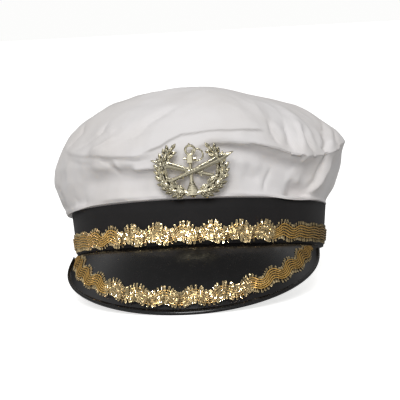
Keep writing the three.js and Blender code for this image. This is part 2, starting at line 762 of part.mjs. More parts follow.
const MATERIALS = {
  cloth: new THREE.MeshStandardMaterial({ color: "#e4e1df", roughness: 0.9, metalness: 0 }),
  bandCloth: new THREE.MeshStandardMaterial({ color: "#1b1a1c", roughness: 0.85, metalness: 0 }),
  patent: new THREE.MeshStandardMaterial({ color: "#111114", roughness: 0.2, metalness: 0 }),
  goldBraid: new THREE.MeshStandardMaterial({ color: "#a8842f", roughness: 0.4, metalness: 0.8 }),
  castMetal: new THREE.MeshStandardMaterial({ color: "#c9c08f", roughness: 0.3, metalness: 1 }),
};

function piece(name, geometry, material) {
  geometry.computeVertexNormals();
  const mesh = new THREE.Mesh(geometry, material);
  mesh.name = name;
  return mesh;
}

/** The crown's side with the hole that the badge's pin passes through. */
function piercedCrownSide() {
  const drill = new THREE.CylinderGeometry(PIN.hole, PIN.hole, 2.5 * PIN.length, PIN.sides);
  const holder = seatOnFront(new THREE.Group());
  holder.updateMatrix();
  drill.applyMatrix4(holder.matrix);
  return geometryFrom(manifoldFrom(crownSideGeometry()).subtract(manifoldFrom(drill)));
}

const hat = new THREE.Group();
hat.add(
  piece("crown_top", crownTopGeometry(), MATERIALS.cloth),
  piece("crown_side", piercedCrownSide(), MATERIALS.cloth),
  piece("band", bandGeometry(), MATERIALS.bandCloth),
  piece("peak", peakGeometry(), MATERIALS.patent),
  piece("band_braid", bandBraidGeometry(), MATERIALS.goldBraid),
  piece("peak_braid", peakBraidGeometry(), MATERIALS.goldBraid),
);

const front = seatOnFront(new THREE.Group());
front.add(
  piece("badge", badgeGeometry(), MATERIALS.castMetal),
  piece("badge_pin", pinGeometry(), MATERIALS.castMetal),
);
hat.add(front);
hat.rotation.x = -rad(LEAN_DEG);

// The origin is on the table under the middle of the hat's outline.
const outline = new THREE.Box3().setFromObject(hat, true);
const middle = outline.getCenter(new THREE.Vector3());
hat.position.set(-middle.x, -middle.y, -outline.min.z);

const part = new THREE.Group();
part.add(hat);

export default part;
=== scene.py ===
"""A captain's hat at rest: white crown, black band, patent peak, gold gimp braid and a cast badge."""

import json
import math

import bmesh
import bpy
import numpy as np
from mathutils import Matrix, Vector, noise
from mathutils.bvhtree import BVHTree

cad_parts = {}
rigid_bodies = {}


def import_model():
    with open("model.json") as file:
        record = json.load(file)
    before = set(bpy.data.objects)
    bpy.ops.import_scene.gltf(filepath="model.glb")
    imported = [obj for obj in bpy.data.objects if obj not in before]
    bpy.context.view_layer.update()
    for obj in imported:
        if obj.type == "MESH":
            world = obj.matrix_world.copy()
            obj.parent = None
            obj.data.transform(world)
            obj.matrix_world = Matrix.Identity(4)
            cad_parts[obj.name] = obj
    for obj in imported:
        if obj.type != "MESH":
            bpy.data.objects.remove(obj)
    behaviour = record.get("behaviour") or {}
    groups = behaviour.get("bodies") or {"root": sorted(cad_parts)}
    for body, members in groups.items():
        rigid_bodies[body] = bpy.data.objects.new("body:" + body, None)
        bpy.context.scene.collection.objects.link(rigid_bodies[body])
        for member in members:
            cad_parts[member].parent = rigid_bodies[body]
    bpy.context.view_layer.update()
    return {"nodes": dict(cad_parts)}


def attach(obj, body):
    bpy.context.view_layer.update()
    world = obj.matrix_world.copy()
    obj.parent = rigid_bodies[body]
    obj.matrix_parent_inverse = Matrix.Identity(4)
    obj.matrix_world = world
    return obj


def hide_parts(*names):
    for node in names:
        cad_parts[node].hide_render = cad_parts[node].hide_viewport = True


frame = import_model()


# ------------------------------------------------------------------ camera, floor and light
# A plain studio: the hat stands on white paper lit from below. A broad soft light comes from the
# front and a little above, and a small lamp beside the lens makes the metal thread glint.

# The camera's angles are in degrees and its lens in mm; other lengths here are in metres.
CAMERA = {"azimuth": 4.23, "elevation": 6.49, "roll": 3.08, "distance": 1.05, "lens": 132.4}
CAMERA_AIM = Vector((-0.0017, 0.0032, 0.0595))
CAMERA_SHIFT = (0.0062, -0.0086)
FLOOR_SIZE = 200.0
PAPER = "#f7f7f6"
PAPER_GLOW = 0.75
PAPER_BEHIND = 1.05  # how bright the paper behind the hat is
WINDOW = {"azimuth": -2, "elevation": 34, "spread": 26, "strength": 1.5}
GLINT = {"place": (-0.22, -1.25, 0.08), "size": 0.16, "power": 72.0}
# The room's light on the hat grows from below to above, between two heights of its direction.
ROOM_LIGHT = {"below": 0.4, "above": 0.48, "low": -0.3, "high": 0.6}
MIRRORED = [
    # how high on the room, from below to above, and how bright it is in a reflection
    (0.0, 0.12), (0.2, 0.4), (0.33, 1.1), (0.43, 0.3), (0.50, 0.04), (0.62, 0.12), (0.78, 0.85),
    (0.9, 0.35), (1.0, 0.25),
]
# Reflections are brightest toward the window's side, and fade behind the hat.
WINDOW_SIDE = {"toward": (-0.35, -0.94, 0.0), "away": 0.55, "near": 1.15, "from": -0.3, "to": 0.9}


def linear(colour):
    """An sRGB hex colour as linear RGBA."""
    channels = [int(colour[i:i + 2], 16) / 255 for i in (1, 3, 5)]
    return [c / 12.92 if c <= 0.04045 else ((c + 0.055) / 1.055) ** 2.4 for c in channels] + [1.0]


def add_node(tree, kind, inputs=None, **settings):
    """Adds a node. An input is a value, or the output socket that feeds it."""
    node = tree.nodes.new(kind)
    for name, value in settings.items():
        setattr(node, name, value)
    for name, value in (inputs or {}).items():
        if isinstance(value, bpy.types.NodeSocket):
            tree.links.new(value, node.inputs[name])
        else:
            node.inputs[name].default_value = value
    return node


def new_material(name):
    """A material with an empty tree: (material, its tree)."""
    material = bpy.data.materials.new(name)
    material.use_nodes = True
    material.node_tree.nodes.clear()
    return material, material.node_tree


def finish_material(tree, shader):
    """Joins the shader to the material's output."""
    add_node(tree, "ShaderNodeOutputMaterial", {"Surface": shader.outputs["BSDF"]})


def show(name, mesh, material):
    """A mesh as an object in the scene, with one material."""
    piece = bpy.data.objects.new(name, mesh)
    bpy.context.scene.collection.objects.link(piece)
    mesh.materials.clear()
    mesh.materials.append(material)
    return piece


def aim_camera():
    """The camera looks at the hat from the front, a little from the right and from above."""
    azimuth, elevation, roll = (
        math.radians(CAMERA[name]) for name in ("azimuth", "elevation", "roll")
    )
    back = Vector((
        math.sin(azimuth) * math.cos(elevation),
        -math.cos(azimuth) * math.cos(elevation),
        math.sin(elevation),
    ))
    right = Vector((math.cos(azimuth), math.sin(azimuth), 0))
    up = back.cross(right)
    side = right * math.cos(roll) - up * math.sin(roll)
    head = right * math.sin(roll) + up * math.cos(roll)
    place = CAMERA_AIM + back * CAMERA["distance"]
    data = bpy.data.cameras.new("camera")
    data.lens = CAMERA["lens"]
    data.shift_x, data.shift_y = CAMERA_SHIFT
    camera = bpy.data.objects.new("camera", data)
    camera.matrix_world = Matrix.Translation(place) @ Matrix((side, head, back)).transposed().to_4x4()
    bpy.context.scene.collection.objects.link(camera)
    bpy.context.scene.camera = camera


def open_window(azimuth, elevation, spread, strength):
    """A wide, far light: azimuth runs from the front toward +X, and spread is how broad it looks."""
    data = bpy.data.lights.new("window", "SUN")
    data.angle = math.radians(spread)
    data.energy = strength
    lamp = bpy.data.objects.new("window", data)
    lamp.rotation_euler = (math.radians(90 - elevation), 0, math.radians(azimuth))
    bpy.context.scene.collection.objects.link(lamp)


def hang_lamp(place, size, power):
    """A small lamp that lights only the objects put in its list, which is returned."""
    data = bpy.data.lights.new("glint", "AREA")
    data.shape = "DISK"
    data.size = size
    data.energy = power
    lamp = bpy.data.objects.new("glint", data)
    lamp.location = place
    lamp.rotation_euler = (Vector(place) - CAMERA_AIM).to_track_quat("Z", "Y").to_euler()
    bpy.context.scene.collection.objects.link(lamp)
    lamp.light_linking.receiver_collection = bpy.data.collections.new("metal")
    return lamp.light_linking.receiver_collection.objects


def light_room():
    """The room seen directly is white paper. As a light it is a dimmer grey, and in a reflection it
    has bright and dark bands."""
    world = bpy.data.worlds.new("studio")
    bpy.context.scene.world = world
    world.use_nodes = True
    tree = world.node_tree
    tree.nodes.clear()
    direction = add_node(tree, "ShaderNodeTexCoord").outputs["Generated"]
    height = add_node(tree, "ShaderNodeSeparateXYZ", {0: direction}).outputs["Z"]
    strength = add_node(
        tree,
        "ShaderNodeMapRange",
        {
            "Value": height,
            "From Min": ROOM_LIGHT["low"],
            "From Max": ROOM_LIGHT["high"],
            "To Min": ROOM_LIGHT["below"],
            "To Max": ROOM_LIGHT["above"],
        },
    )
    fill = add_node(
        tree,
        "ShaderNodeBackground",
        {"Color": linear(PAPER), "Strength": strength.outputs[0]},
    )
    upward = add_node(
        tree, "ShaderNodeMapRange", {"Value": height, "From Min": -1.0, "From Max": 1.0}
    )
    soft_box = add_node(tree, "ShaderNodeValToRGB", {"Fac": upward.outputs[0]})
    for place, level in MIRRORED:
        ends = soft_box.color_ramp.elements
        stop = ends[0] if place == 0 else ends[-1] if place == 1 else ends.new(place)
        stop.color = (level, level, level, 1)
    toward = add_node(
        tree,
        "ShaderNodeVectorMath",
        {0: direction, 1: WINDOW_SIDE["toward"]},
        operation="DOT_PRODUCT",
    )
    share = add_node(
        tree,
        "ShaderNodeMapRange",
        {
            "Value": toward.outputs["Value"],
            "From Min": WINDOW_SIDE["from"],
            "From Max": WINDOW_SIDE["to"],
            "To Min": WINDOW_SIDE["away"],
            "To Max": WINDOW_SIDE["near"],
        },
    )
    mirrored = add_node(
        tree,
        "ShaderNodeBackground",
        {"Color": soft_box.outputs["Color"], "Strength": share.outputs[0]},
    )
    paper = add_node(
        tree, "ShaderNodeBackground", {"Color": linear(PAPER), "Strength": PAPER_BEHIND}
    )
    path = add_node(tree, "ShaderNodeLightPath").outputs
    lit = add_node(
        tree,
        "ShaderNodeMixShader",
        {0: path["Is Glossy Ray"], 1: fill.outputs[0], 2: mirrored.outputs[0]},
    )
    mixed = add_node(
        tree,
        "ShaderNodeMixShader",
        {0: path["Is Camera Ray"], 1: lit.outputs[0], 2: paper.outputs[0]},
    )
    add_node(tree, "ShaderNodeOutputWorld", {"Surface": mixed.outputs[0]})


def lay_floor():
    """The paper under the hat, which takes its shadow but throws no light back on it."""
    mesh = bpy.data.meshes.new("floor")
    half = FLOOR_SIZE / 2
    corners = [(-half, -half, 0), (half, -half, 0), (half, half, 0), (-half, half, 0)]
    mesh.from_pydata(corners, [], [(0, 1, 2, 3)])
    # Seamless background paper: matt and almost white.
    material, tree = new_material("background_paper")
    shader = add_node(
        tree,
        "ShaderNodeBsdfPrincipled",
        {
            "Base Color": linear(PAPER),
            "Roughness": 0.9,
            "Specular IOR Level": 0.1,
            "Emission Color": linear(PAPER),
            "Emission Strength": PAPER_GLOW,
        },
    )
    finish_material(tree, shader)
    floor = show("floor", mesh, material)
    floor.visible_diffuse = False
    floor.visible_glossy = False


aim_camera()
open_window(**WINDOW)
shiny = hang_lamp(**GLINT)
light_room()
lay_floor()
bpy.context.scene.view_settings.view_transform = "Standard"


# ------------------------------------------------------------------ band
# The hat band is a ring of stiff board covered in black felt-faced cloth, a little wider at its top
# than at its foot. The crown is sewn to its upper edge, the peak inside its lower one.

MM = 0.001
LEAN = math.radians(11.5)  # the hat lies back on its peak's rim and the back of the band
BAND_BLACK = "#0e0c0d"
BAND_FADED = "#181516"
FELT_GRAIN = 0.9  # mm between the felt's clumps, coarser than real so that it shows
WEAR_PATCH = 22.2  # mm across a patch where handling has greyed the nap
FACETS = {"flat": math.radians(40), "square": math.radians(60)}  # triangles that are joined to quads


def stand_matrix():
    """From the hat's own plane in millimetres, on which the band stands upright, to the frame."""
    lean = Matrix.Rotation(-LEAN, 4, "X")
    upright = [lean.inverted() @ v.co for v in frame["nodes"]["band"].data.vertices]
    low = [min(p[i] for p in upright) for i in range(3)]
    high = [max(p[i] for p in upright) for i in range(3)]
    foot = Matrix.Translation(((low[0] + high[0]) / 2, (low[1] + high[1]) / 2, low[2]))
    return lean @ foot @ Matrix.Scale(MM, 4)


STAND = stand_matrix()


def corners_of(node):
    """A CAD node's vertices in the hat's own millimetres."""
    upright = STAND.inverted()
    return [upright @ v.co for v in frame["nodes"][node].data.vertices]


def measure_band():
    """The band's main sizes in mm. Its foot is the lowest tenth of it."""
    points = corners_of("band")
    height = max(p.z for p in points)
    foot = [p for p in points if p.z < 0.1 * height]
    return {
        "half_width": max(p.x for p in foot),
        "half_depth": max(-p.y for p in foot),
        "height": height,
        "flare": max(p.x for p in points) - max(p.x for p in foot),
    }


BAND = measure_band()


def around_band(azimuth, out, height):
    """A point outside the ellipse of the band's lower edge. Azimuth runs from the front toward +X."""
    return Vector((
        (BAND["half_width"] + out) * math.sin(azimuth),
        -(BAND["half_depth"] + out) * math.cos(azimuth),
        height,
    ))


def softened(node, name, levels, sharp):
    """A copy of a CAD node with its facets smoothed away. Edges over the angle sharp are kept."""
    mesh = frame["nodes"][node].data.copy()
    mesh.name = name
    shape = bmesh.new()
    shape.from_mesh(mesh)
    bmesh.ops.remove_doubles(shape, verts=shape.verts, dist=0.01 * MM)
    bmesh.ops.join_triangles(
        shape,
        faces=shape.faces,
        angle_face_threshold=FACETS["flat"],
        angle_shape_threshold=FACETS["square"],
    )
    crease = shape.edges.layers.float.new("crease_edge")
    for edge in shape.edges:
        if edge.calc_face_angle(0) > sharp:
            edge[crease] = 1
    for face in shape.faces:
        face.smooth = True
    shape.to_mesh(mesh)
    shape.free()
    piece = show(name, mesh, frame["nodes"][node].data.materials[0])
    rounding = piece.modifiers.new("rounding", "SUBSURF")
    rounding.levels = rounding.render_levels = levels
    made = bpy.data.meshes.new_from_object(
        piece.evaluated_get(bpy.context.evaluated_depsgraph_get())
    )
    bpy.data.objects.remove(piece)
    made.name = name
    return made


def felt():
    """Felt-faced wool cloth, pressed: black, matt, with a short nap that greys it at a low angle."""
    material, tree = new_material("black_wool_felt")
    place = add_node(tree, "ShaderNodeTexCoord").outputs["Object"]
    clumps = add_node(
        tree,
        "ShaderNodeTexNoise",
        {"Vector": place, "Scale": 1 / (FELT_GRAIN * MM), "Detail": 4.0, "Roughness": 0.7},
    )
    wear = add_node(
        tree, "ShaderNodeTexNoise", {"Vector": place, "Scale": 1 / (WEAR_PATCH * MM), "Detail": 3.0}
    )
    amount = add_node(
        tree, "ShaderNodeMapRange", {"Value": wear.outputs["Fac"], "From Min": 0.35, "From Max": 0.75}
    )
    colour = add_node(
        tree,
        "ShaderNodeMix",
        {"Factor": amount.outputs[0], "A": linear(BAND_BLACK), "B": linear(BAND_FADED)},
        data_type="RGBA",
    )
    nap = add_node(
        tree,
        "ShaderNodeBump",
        {"Height": clumps.outputs["Fac"], "Strength": 0.5, "Distance": 0.15 * MM},
    )
    shader = add_node(
        tree,
        "ShaderNodeBsdfPrincipled",
        {
            "Base Color": colour.outputs[2],
            "Roughness": 0.82,
            "Normal": nap.outputs["Normal"],
            "Sheen Weight": 0.06,
            "Sheen Roughness": 0.4,
        },
    )
    finish_material(tree, shader)
    return material


band = show("hat_band", softened("band", "hat_band", 2, math.radians(50)), felt())
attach(band, "root")
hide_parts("band")


# ------------------------------------------------------------------ crown
# The crown is unlined white cotton twill, cut as an oval top and a side strip and seamed together.
# The top is fuller than the seam, so it falls in soft gathers, and the strip's foot is turned under
# and sewn to the band's upper edge.

CROWN_MIDDLE = Vector((0, 0, 40))  # the crown's surface is laid out by direction from here, in mm
COLUMNS = 560
CROWDING = 0.45  # how much closer together the columns stand toward the front
SIDE_ROWS = 56
TOP_ROWS = 88
SIDE_CROWDING = 0.13  # how much closer the side's rows stand toward both of its edges
TOP_CROWDING = {"share": 0.75, "power": 1.8}  # and the top's rows toward the seam
FACET_BLUR_DEG = 2.6  # how far the CAD model's facets are blurred round the crown
ROW_BLUR = {"side": 1.5, "top": 2.2}  # and down it, in rows
SEAM_BLUR = 1.2  # how much further the seam's line is blurred
EDGE_GAP = {"hem": 0.4, "seam": 0.3}  # degrees by which the cloth keeps off a CAD piece's edges
CLOTH_THICKNESS = 1.0
CLOTH_STIFFNESS = 0.7  # cells over which the cloth rounds off its own folds
HELD_UP_TO = (0.3, 3.5)  # mm over the band's edge where the cloth starts to fold and folds freely
FOOT_ROWS = ((-1.6, 0.7), (-0.6, 0.55), (0.2, 0.6))  # outside and above the band's upper edge, mm
COTTON = "#efecec"
COTTON_SHADE = "#e6e1de"
TWILL_PITCH = 0.9  # mm between ribs, about twice the real spacing, so that it shows
TWILL_TURN = (0.5, 0.6, math.radians(40))  # the ribs run aslant of every panel
SLUB = 1.6  # mm between thick places in the yarn
SOIL_PATCH = 45.5  # mm across a patch that use has made a little less white

# Folds as places on the cloth: a bearing from the front toward +X and an elevation from the crown's
# middle, in degrees. width is the half-width and rise the height, in mm. A positive skew makes the
# fold steeper on the right of its direction of travel, and a crisp one has a sharp back.
# line is how dark a shade is painted along the fold's crease, where the crease is too narrow for the
# mesh to shade.
FOLDS = [
    # gathers of the top, right of the badge
    {"path": [(38, 26), (34, 22), (33, 18), (35, 12)], "width": 1.8, "rise": -1.5, "crisp": True},
    {"path": [(36, 24), (38, 18), (37, 12)], "width": 3.6, "rise": 1.1},
    {"path": [(44, 25), (42, 20), (41, 15), (41, 10)], "width": 2.2, "rise": -2.2, "crisp": True},
    {"path": [(51, 26), (48, 18), (46, 14), (45, 10)], "width": 3.0, "rise": 2.1, "skew": 0.35},
    {"path": [(51, 21), (50, 15), (52, 11)], "width": 2.2, "rise": -2.2, "crisp": True},
    {"path": [(57, 24), (54, 17), (54, 12)], "width": 3.2, "rise": 1.4},
    {"path": [(81, 29), (65, 19), (59, 13), (60, 8), (60, 5)], "width": 1.6, "rise": -3.0,
     "crisp": True, "line": 0.6},
    {"path": [(77, 24), (67, 17), (61, 12)], "width": 4.0, "rise": 2.4, "skew": -0.2},
    {"path": [(78, 22), (72, 17), (74, 14)], "width": 2.4, "rise": -1.7, "crisp": True},
    # the top hangs over the side in front
    {"path": [(2, 13), (9, 14), (17, 14), (27, 13)], "width": 4.5, "rise": 2.1},
    {"path": [(9, 12.5), (17, 12), (22, 12)], "width": 2.0, "rise": 1.1, "skew": 0.5, "crisp": True},
    {"path": [(20, 12.2), (24, 12), (32, 11), (39, 10)], "width": 2.2, "rise": 2.1, "skew": 0.5,
     "crisp": True, "line": 0.5},
    {"path": [(7, 11), (14, 11), (20, 10), (25, 9), (31, 8)], "width": 4.0, "rise": -2.6},
    {"path": [(28, 8), (34, 6.5), (42, 5), (50, 6)], "width": 4.2, "rise": -1.7},
    # side strip, right
    {"path": [(18, 7), (24, 7), (29, 4)], "width": 4.0, "rise": 1.7},
    {"path": [(20, 2), (28, 1)], "width": 3.2, "rise": -1.3},
    {"path": [(34, 5), (31, 1), (29, -4)], "width": 1.8, "rise": -1.7, "skew": 0.4, "crisp": True},
    {"path": [(66, 9), (64, 5), (61, 1), (56, -4)], "width": 3.0, "rise": 3.6, "skew": -0.3,
     "crisp": True},
    {"path": [(60, 9), (59, 5), (58, 1), (54, -3)], "width": 2.6, "rise": -2.4},
    {"path": [(39, -5.6), (46, -4), (53, -4.4), (58, -5)], "width": 3.6, "rise": -4.4},
    {"path": [(42, 1), (47, -2), (50, -5)], "width": 5.0, "rise": -1.6},
    {"path": [(40, 2), (46, 1), (50, 1)], "width": 3.2, "rise": 1.8},
    {"path": [(44, 5), (47, 3)], "width": 2.4, "rise": 1.1, "crisp": True},
    {"path": [(47, 9), (46, 6.5)], "width": 1.4, "rise": 1.7, "crisp": True},
    {"path": [(77, 15), (68, 9), (70, 3)], "width": 3.2, "rise": -2.1},
    {"path": [(12, -4), (24, -5), (37, -6)], "width": 2.0, "rise": 1.1},
    # the badge's pin draws the cloth up against its back
    {"path": [(-9, 3), (-2, 4), (6, 4), (15, 3)], "width": 13, "rise": 4.6, "fade": 0.4},
    # top, left
    {"path": [(-26, 17.5), (-32, 14.5), (-38, 12.5)], "width": 2.6, "rise": 3.0, "skew": -0.3,
     "crisp": True},
    {"path": [(-13, 20), (-17, 19), (-22, 17), (-28, 15)], "width": 2.2, "rise": -1.7, "skew": 0.3,
     "crisp": True},
    {"path": [(-3, 31), (-10, 27), (-14, 24), (-19, 19)], "width": 3.0, "rise": -1.8, "skew": 0.3},
    {"path": [(-35, 27), (-37, 21), (-43, 19), (-50, 17)], "width": 2.4, "rise": -2.1, "crisp": True},
    {"path": [(-33, 23), (-28, 20)], "width": 2.6, "rise": 1.4},
    {"path": [(-57, 30), (-54, 25), (-58, 21), (-62, 18)], "width": 2.4, "rise": -2, "crisp": True},
    {"path": [(-63, 18.5), (-51, 15), (-43, 13), (-36, 11.8), (-30, 11.2)], "width": 2.8, "rise": 1.3,
     "skew": 0.4},
    {"path": [(-36, 11.6), (-30, 11), (-23, 9.9), (-17, 9.2), (-10, 10)], "width": 2.8, "rise": 1.9,
     "skew": 0.5},
    # side strip, left
    {"path": [(-33, 9.6), (-29, 8), (-27, 6.2), (-25, 4)], "width": 1.6, "rise": -1.0, "skew": 0.4,
     "crisp": True, "line": 0.2},
    {"path": [(-28, 10), (-25.5, 7.8), (-24, 5.5)], "width": 1.8, "rise": 1.0},
    {"path": [(-39, 8), (-31, 7), (-28.5, 5.8)], "width": 3.2, "rise": 1.0},
    {"path": [(-60, 15), (-51, 11.6), (-43, 9.2), (-34, 8.4)], "width": 2.4, "rise": -0.5},
    {"path": [(-32, 9.2), (-23, 8.2), (-17, 7.5), (-10, 8.2)], "width": 1.2, "rise": -1.6,
     "crisp": True, "line": 0.3},
    {"path": [(-19, 5.6), (-9, 5.9)], "width": 2.0, "rise": 2.4, "fade": 0.2},
    {"path": [(-50, -3), (-47, 0.3), (-40, 3), (-30, 3.5), (-21, 3.3), (-13, 3.8)], "width": 5.0,
     "rise": -1.2},
    {"path": [(-56, -3.5), (-47, -3.7)], "width": 3.2, "rise": -1.4, "fade": 0.2},
    {"path": [(-40, -4), (-24, -4), (-3, -4.8)], "width": 2.8, "rise": 1.5},
    {"path": [(-64, 9), (-72, 3), (-70, -2)], "width": 4.0, "rise": -1.4},
    # sides and back, slack
    {"path": [(100, 28), (104, 18), (100, 8)], "width": 3.0, "rise": -2.5, "crisp": True},
    {"path": [(92, 14), (94, 6), (88, -2)], "width": 3.4, "rise": 2.1},
    {"path": [(115, 24), (121, 17), (117, 11)], "width": 3.2, "rise": 2, "skew": 0.3},
    {"path": [(124, 30), (134, 21), (136, 12)], "width": 2.8, "rise": -2.5, "crisp": True},
    {"path": [(148, 10), (154, 4), (159, -3)], "width": 3.6, "rise": 2.5, "skew": -0.3},
    {"path": [(143, 9), (147, 3), (152, -3)], "width": 3.0, "rise": -2.4},
    {"path": [(178, 27), (171, 19), (173, 12)], "width": 2.8, "rise": -2.4, "crisp": True},
    {"path": [(168, 20), (164, 15), (166, 11)], "width": 3.0, "rise": 1.7},
    {"path": [(-158, 30), (-165, 21), (-157, 13)], "width": 3.0, "rise": -2.4, "crisp": True},
    {"path": [(-172, 9), (-176, 3), (-171, -3)], "width": 3.8, "rise": 2},
    {"path": [(-134, 10), (-141, 4), (-137, -3)], "width": 3.2, "rise": -2.7, "skew": 0.3},
    {"path": [(-127, 9), (-132, 3), (-129, -2)], "width": 3.4, "rise": 2.1},
    {"path": [(-108, 31), (-116, 22), (-110, 14)], "width": 3.0, "rise": -2.2, "crisp": True},
    {"path": [(-82, 26), (-94, 18), (-103, 13)], "width": 3.0, "rise": 2.1, "skew": 0.3},
    {"path": [(-76, 24), (-84, 18), (-80, 13)], "width": 2.6, "rise": -2, "crisp": True},
    {"path": [(-86, 9), (-97, 3), (-94, -3)], "width": 3.6, "rise": -2.1},
    # where the top's own cloth doubles over into a fine tuck, in front
    {"path": [(-14, 10), (-8, 12), (-5, 14), (-1, 16), (6, 16.3), (16, 16.4), (29, 17.3)],
     "width": 4.0, "rise": 1.3, "skew": 0.85, "crisp": True, "fade": 0.08, "line": 0.55},
]
FOLD_BACK = {"round": 2.0, "crisp": 1.15}  # the lower, the sharper a fold's back
CREASE_LINE = 0.8  # half-width in mm of the shade painted along a pressed crease
# the colour of the shade painted along a crease
CREASE_PAINTED_SHADE = "#8f8a86"
SEAM = {"groove": -0.5, "groove_width": 1.6, "puff": 0.4, "puff_at": 5.0, "puff_width": 3.5}
FLAT_SEAM = {"from": -95, "to": 95, "fade": 30}  # bearings where the seam is pressed flat
ROUND_SEAM = {"from": -75, "to": -8, "fade": 16}  # and those where the cloth turns softly over it
SHOULDER = {"rows": 8, "reach": 5.0}  # how far that turn is spread, in rows and in mm
SIDE_DIP = 0.6  # how much of the seam's groove the side strip takes
# Slack everywhere: the size of the swells in mm, and how far they lift the cloth.
SWELLS = ((38, 0.9), (17, 0.45), (8, 0.14))
CRUMPLES = ((46, 2.4), (24, 1.3), (13, 0.5))  # likewise, for creases with sharp backs
PUCKERS = {"pitch": 7.5, "tall": 30, "reach": 11, "rise": 0.8}  # along the sewn foot


def skin_of(*nodes):
    """The nodes' faces as one search tree, and the number of faces in each node."""
    points, faces, counts = [], [], []
    for node in nodes:
        start = len(points)
        points += corners_of(node)
        polygons = frame["nodes"][node].data.polygons
        faces += [[start + i for i in polygon.vertices] for polygon in polygons]
        counts.append(len(polygons))
    return BVHTree.FromPolygons(points, faces), counts


def towards(bearing, elevation):
    """A direction from the crown's middle. Works on numbers and on arrays."""
    bearing, elevation = np.radians(bearing), np.radians(elevation)
    return np.stack([
        np.sin(bearing) * np.cos(elevation),
        -np.cos(bearing) * np.cos(elevation),
        np.sin(elevation) + 0 * bearing,
    ], axis=-1)


def touch_crown(bearing, elevation):
    """Distance of the crown's outer face from its middle, and whether it is the top that is there."""
    reach = 200
    ray = Vector(towards(bearing, elevation))
    place, _, face, far = CROWN_SKIN.ray_cast(CROWN_MIDDLE + reach * ray, -ray, reach)
    return (None, False) if place is None else (reach - far, face >= SIDE_FACES)


def highest(bearing, low, high, holds):
    """The highest elevation at which holds is still true, by halving."""
    for _ in range(14):
        middle = (low + high) / 2
        if holds(*touch_crown(bearing, middle)):
            low = middle
        else:
            high = middle
    return low


def bell(width):
    """Steps to both sides of a cell, and their weights in a Gaussian of that width."""
    steps = np.arange(-int(3 * width) - 1, int(3 * width) + 2)
    return steps, np.exp(-0.5 * (steps / width) ** 2)


def blurred(grid, around, along=0.0):
    """A grid of columns round the crown and rows, smoothed by Gaussians measured in cells."""
    steps, weights = bell(around)
    grid = sum(w * np.roll(grid, s, axis=0) for s, w in zip(steps, weights)) / weights.sum()
    if along:
        steps, weights = bell(along)
        rows = np.arange(grid.shape[1])
        last = grid.shape[1] - 1
        # Beyond an edge the slope goes on, so that the edge stays where it is.
        total = 0
        for s, w in zip(steps, weights):
            index = rows + s
            inside = np.clip(index, 0, last)
            mirror = np.clip(2 * inside - index, 0, last)
            total = total + w * (2 * grid[:, inside] - grid[:, mirror] * (index != inside)
                                 - grid[:, inside] * (index == inside))
        grid = total / weights.sum()
    return grid


def smooth_step(values, start, end):
    """From 0 at the start to 1 at the end, with no corner at either."""
    share = np.clip((values - start) / (end - start), 0, 1)
    return share * share * (3 - 2 * share)


def surface_normals(points):
    """Outward normals of a grid of columns round the crown and rows from low to high."""
    around = np.roll(points, -1, axis=0) - np.roll(points, 1, axis=0)
    along = np.gradient(points, axis=1)
    normals = np.cross(around, along)
    return normals / np.maximum(np.linalg.norm(normals, axis=-1, keepdims=True), 1e-9)


def fold_path(path, steps=6):
    """A fold's places as points on the crown, in mm, closely spaced."""
    ends = np.array(path, float)
    fine = np.concatenate([
        np.linspace(a, b, steps, endpoint=False) for a, b in zip(ends[:-1], ends[1:])
    ] + [ends[-1:]])
    under = BAND["half_depth"]  # for a fold that runs on below the cloth's edge
    reach = [touch_crown(*place)[0] or under for place in fine]
    return np.array(CROWN_MIDDLE) + towards(fine[:, 0], fine[:, 1]) * np.array(reach)[:, None]


def lay_fold(points, path, width, rise, skew=0.0, crisp=False, fade=0.3, line=0.0):
    """How far one fold lifts or sinks each point of the cloth, and how dark the shade painted along its
    crease is.
    """
    spine = fold_path(path)
    lengths = np.linalg.norm(np.diff(spine, axis=0), axis=1)
    starts = np.concatenate([[0], np.cumsum(lengths)])
    best = np.full(points.shape[:-1], 1e9)
    side = np.zeros_like(best)
    along = np.zeros_like(best)
    for start, a, b in zip(starts, spine[:-1], spine[1:]):
        run = b - a
        offset = points - a
        share = np.clip(offset @ run / (run @ run), 0, 1)
        gap = offset - share[..., None] * run
        distance = np.linalg.norm(gap, axis=-1)
        outward = (a + b) / 2 - np.array(CROWN_MIDDLE)
        right = np.cross(run, outward)
        nearer = distance < best
        best = np.where(nearer, distance, best)
        side = np.where(nearer, np.sign(gap @ right), side)
        along = np.where(nearer, (start + share * np.linalg.norm(run)) / starts[-1], along)
    spread = width * (1 - skew * side)
    faded = smooth_step(along, -0.4 * fade, fade) * smooth_step(1 - along, -0.4 * fade, fade)
    lift = rise * faded * np.exp(-np.abs(best / spread) ** FOLD_BACK["crisp" if crisp else "round"])
    return lift, line * faded * np.exp(-(best / CREASE_LINE) ** 2)


def swell(points, seed):
    """Slack of the cloth: soft noise of several sizes, each read at its own far place."""
    flat = points.reshape(-1, 3)
    total = np.zeros(len(flat))
    for i, (size, lift) in enumerate(SWELLS):
        shift = Vector((seed * 7.3 + i * 31.7, seed * 3.1, 5.9 * i))
        total += [lift * noise.noise(Vector(p) / size + shift) for p in flat]
    for i, (size, lift) in enumerate(CRUMPLES):
        shift = Vector((11.3 * i, seed * 17.9, seed * 2.3))
        total += [-lift * abs(noise.noise(Vector(p) / size + shift)) for p in flat]
    return total.reshape(points.shape[:-1])


def pucker(points):
    """Short upright puckers where the foot is sewn to the band."""
    bearing = np.arctan2(points[..., 0], -points[..., 1])
    radius = (BAND["half_width"] + BAND["half_depth"]) / 2
    rounds = radius / PUCKERS["pitch"]
    values = [
        noise.noise(Vector((rounds * math.cos(b), rounds * math.sin(b), z / PUCKERS["tall"])))
        for b, z in zip(bearing.ravel(), points[..., 2].ravel())
    ]
    near = np.exp(-np.maximum(points[..., 2] - BAND["height"], 0) / PUCKERS["reach"])
    return PUCKERS["rise"] * near * np.array(values).reshape(near.shape)


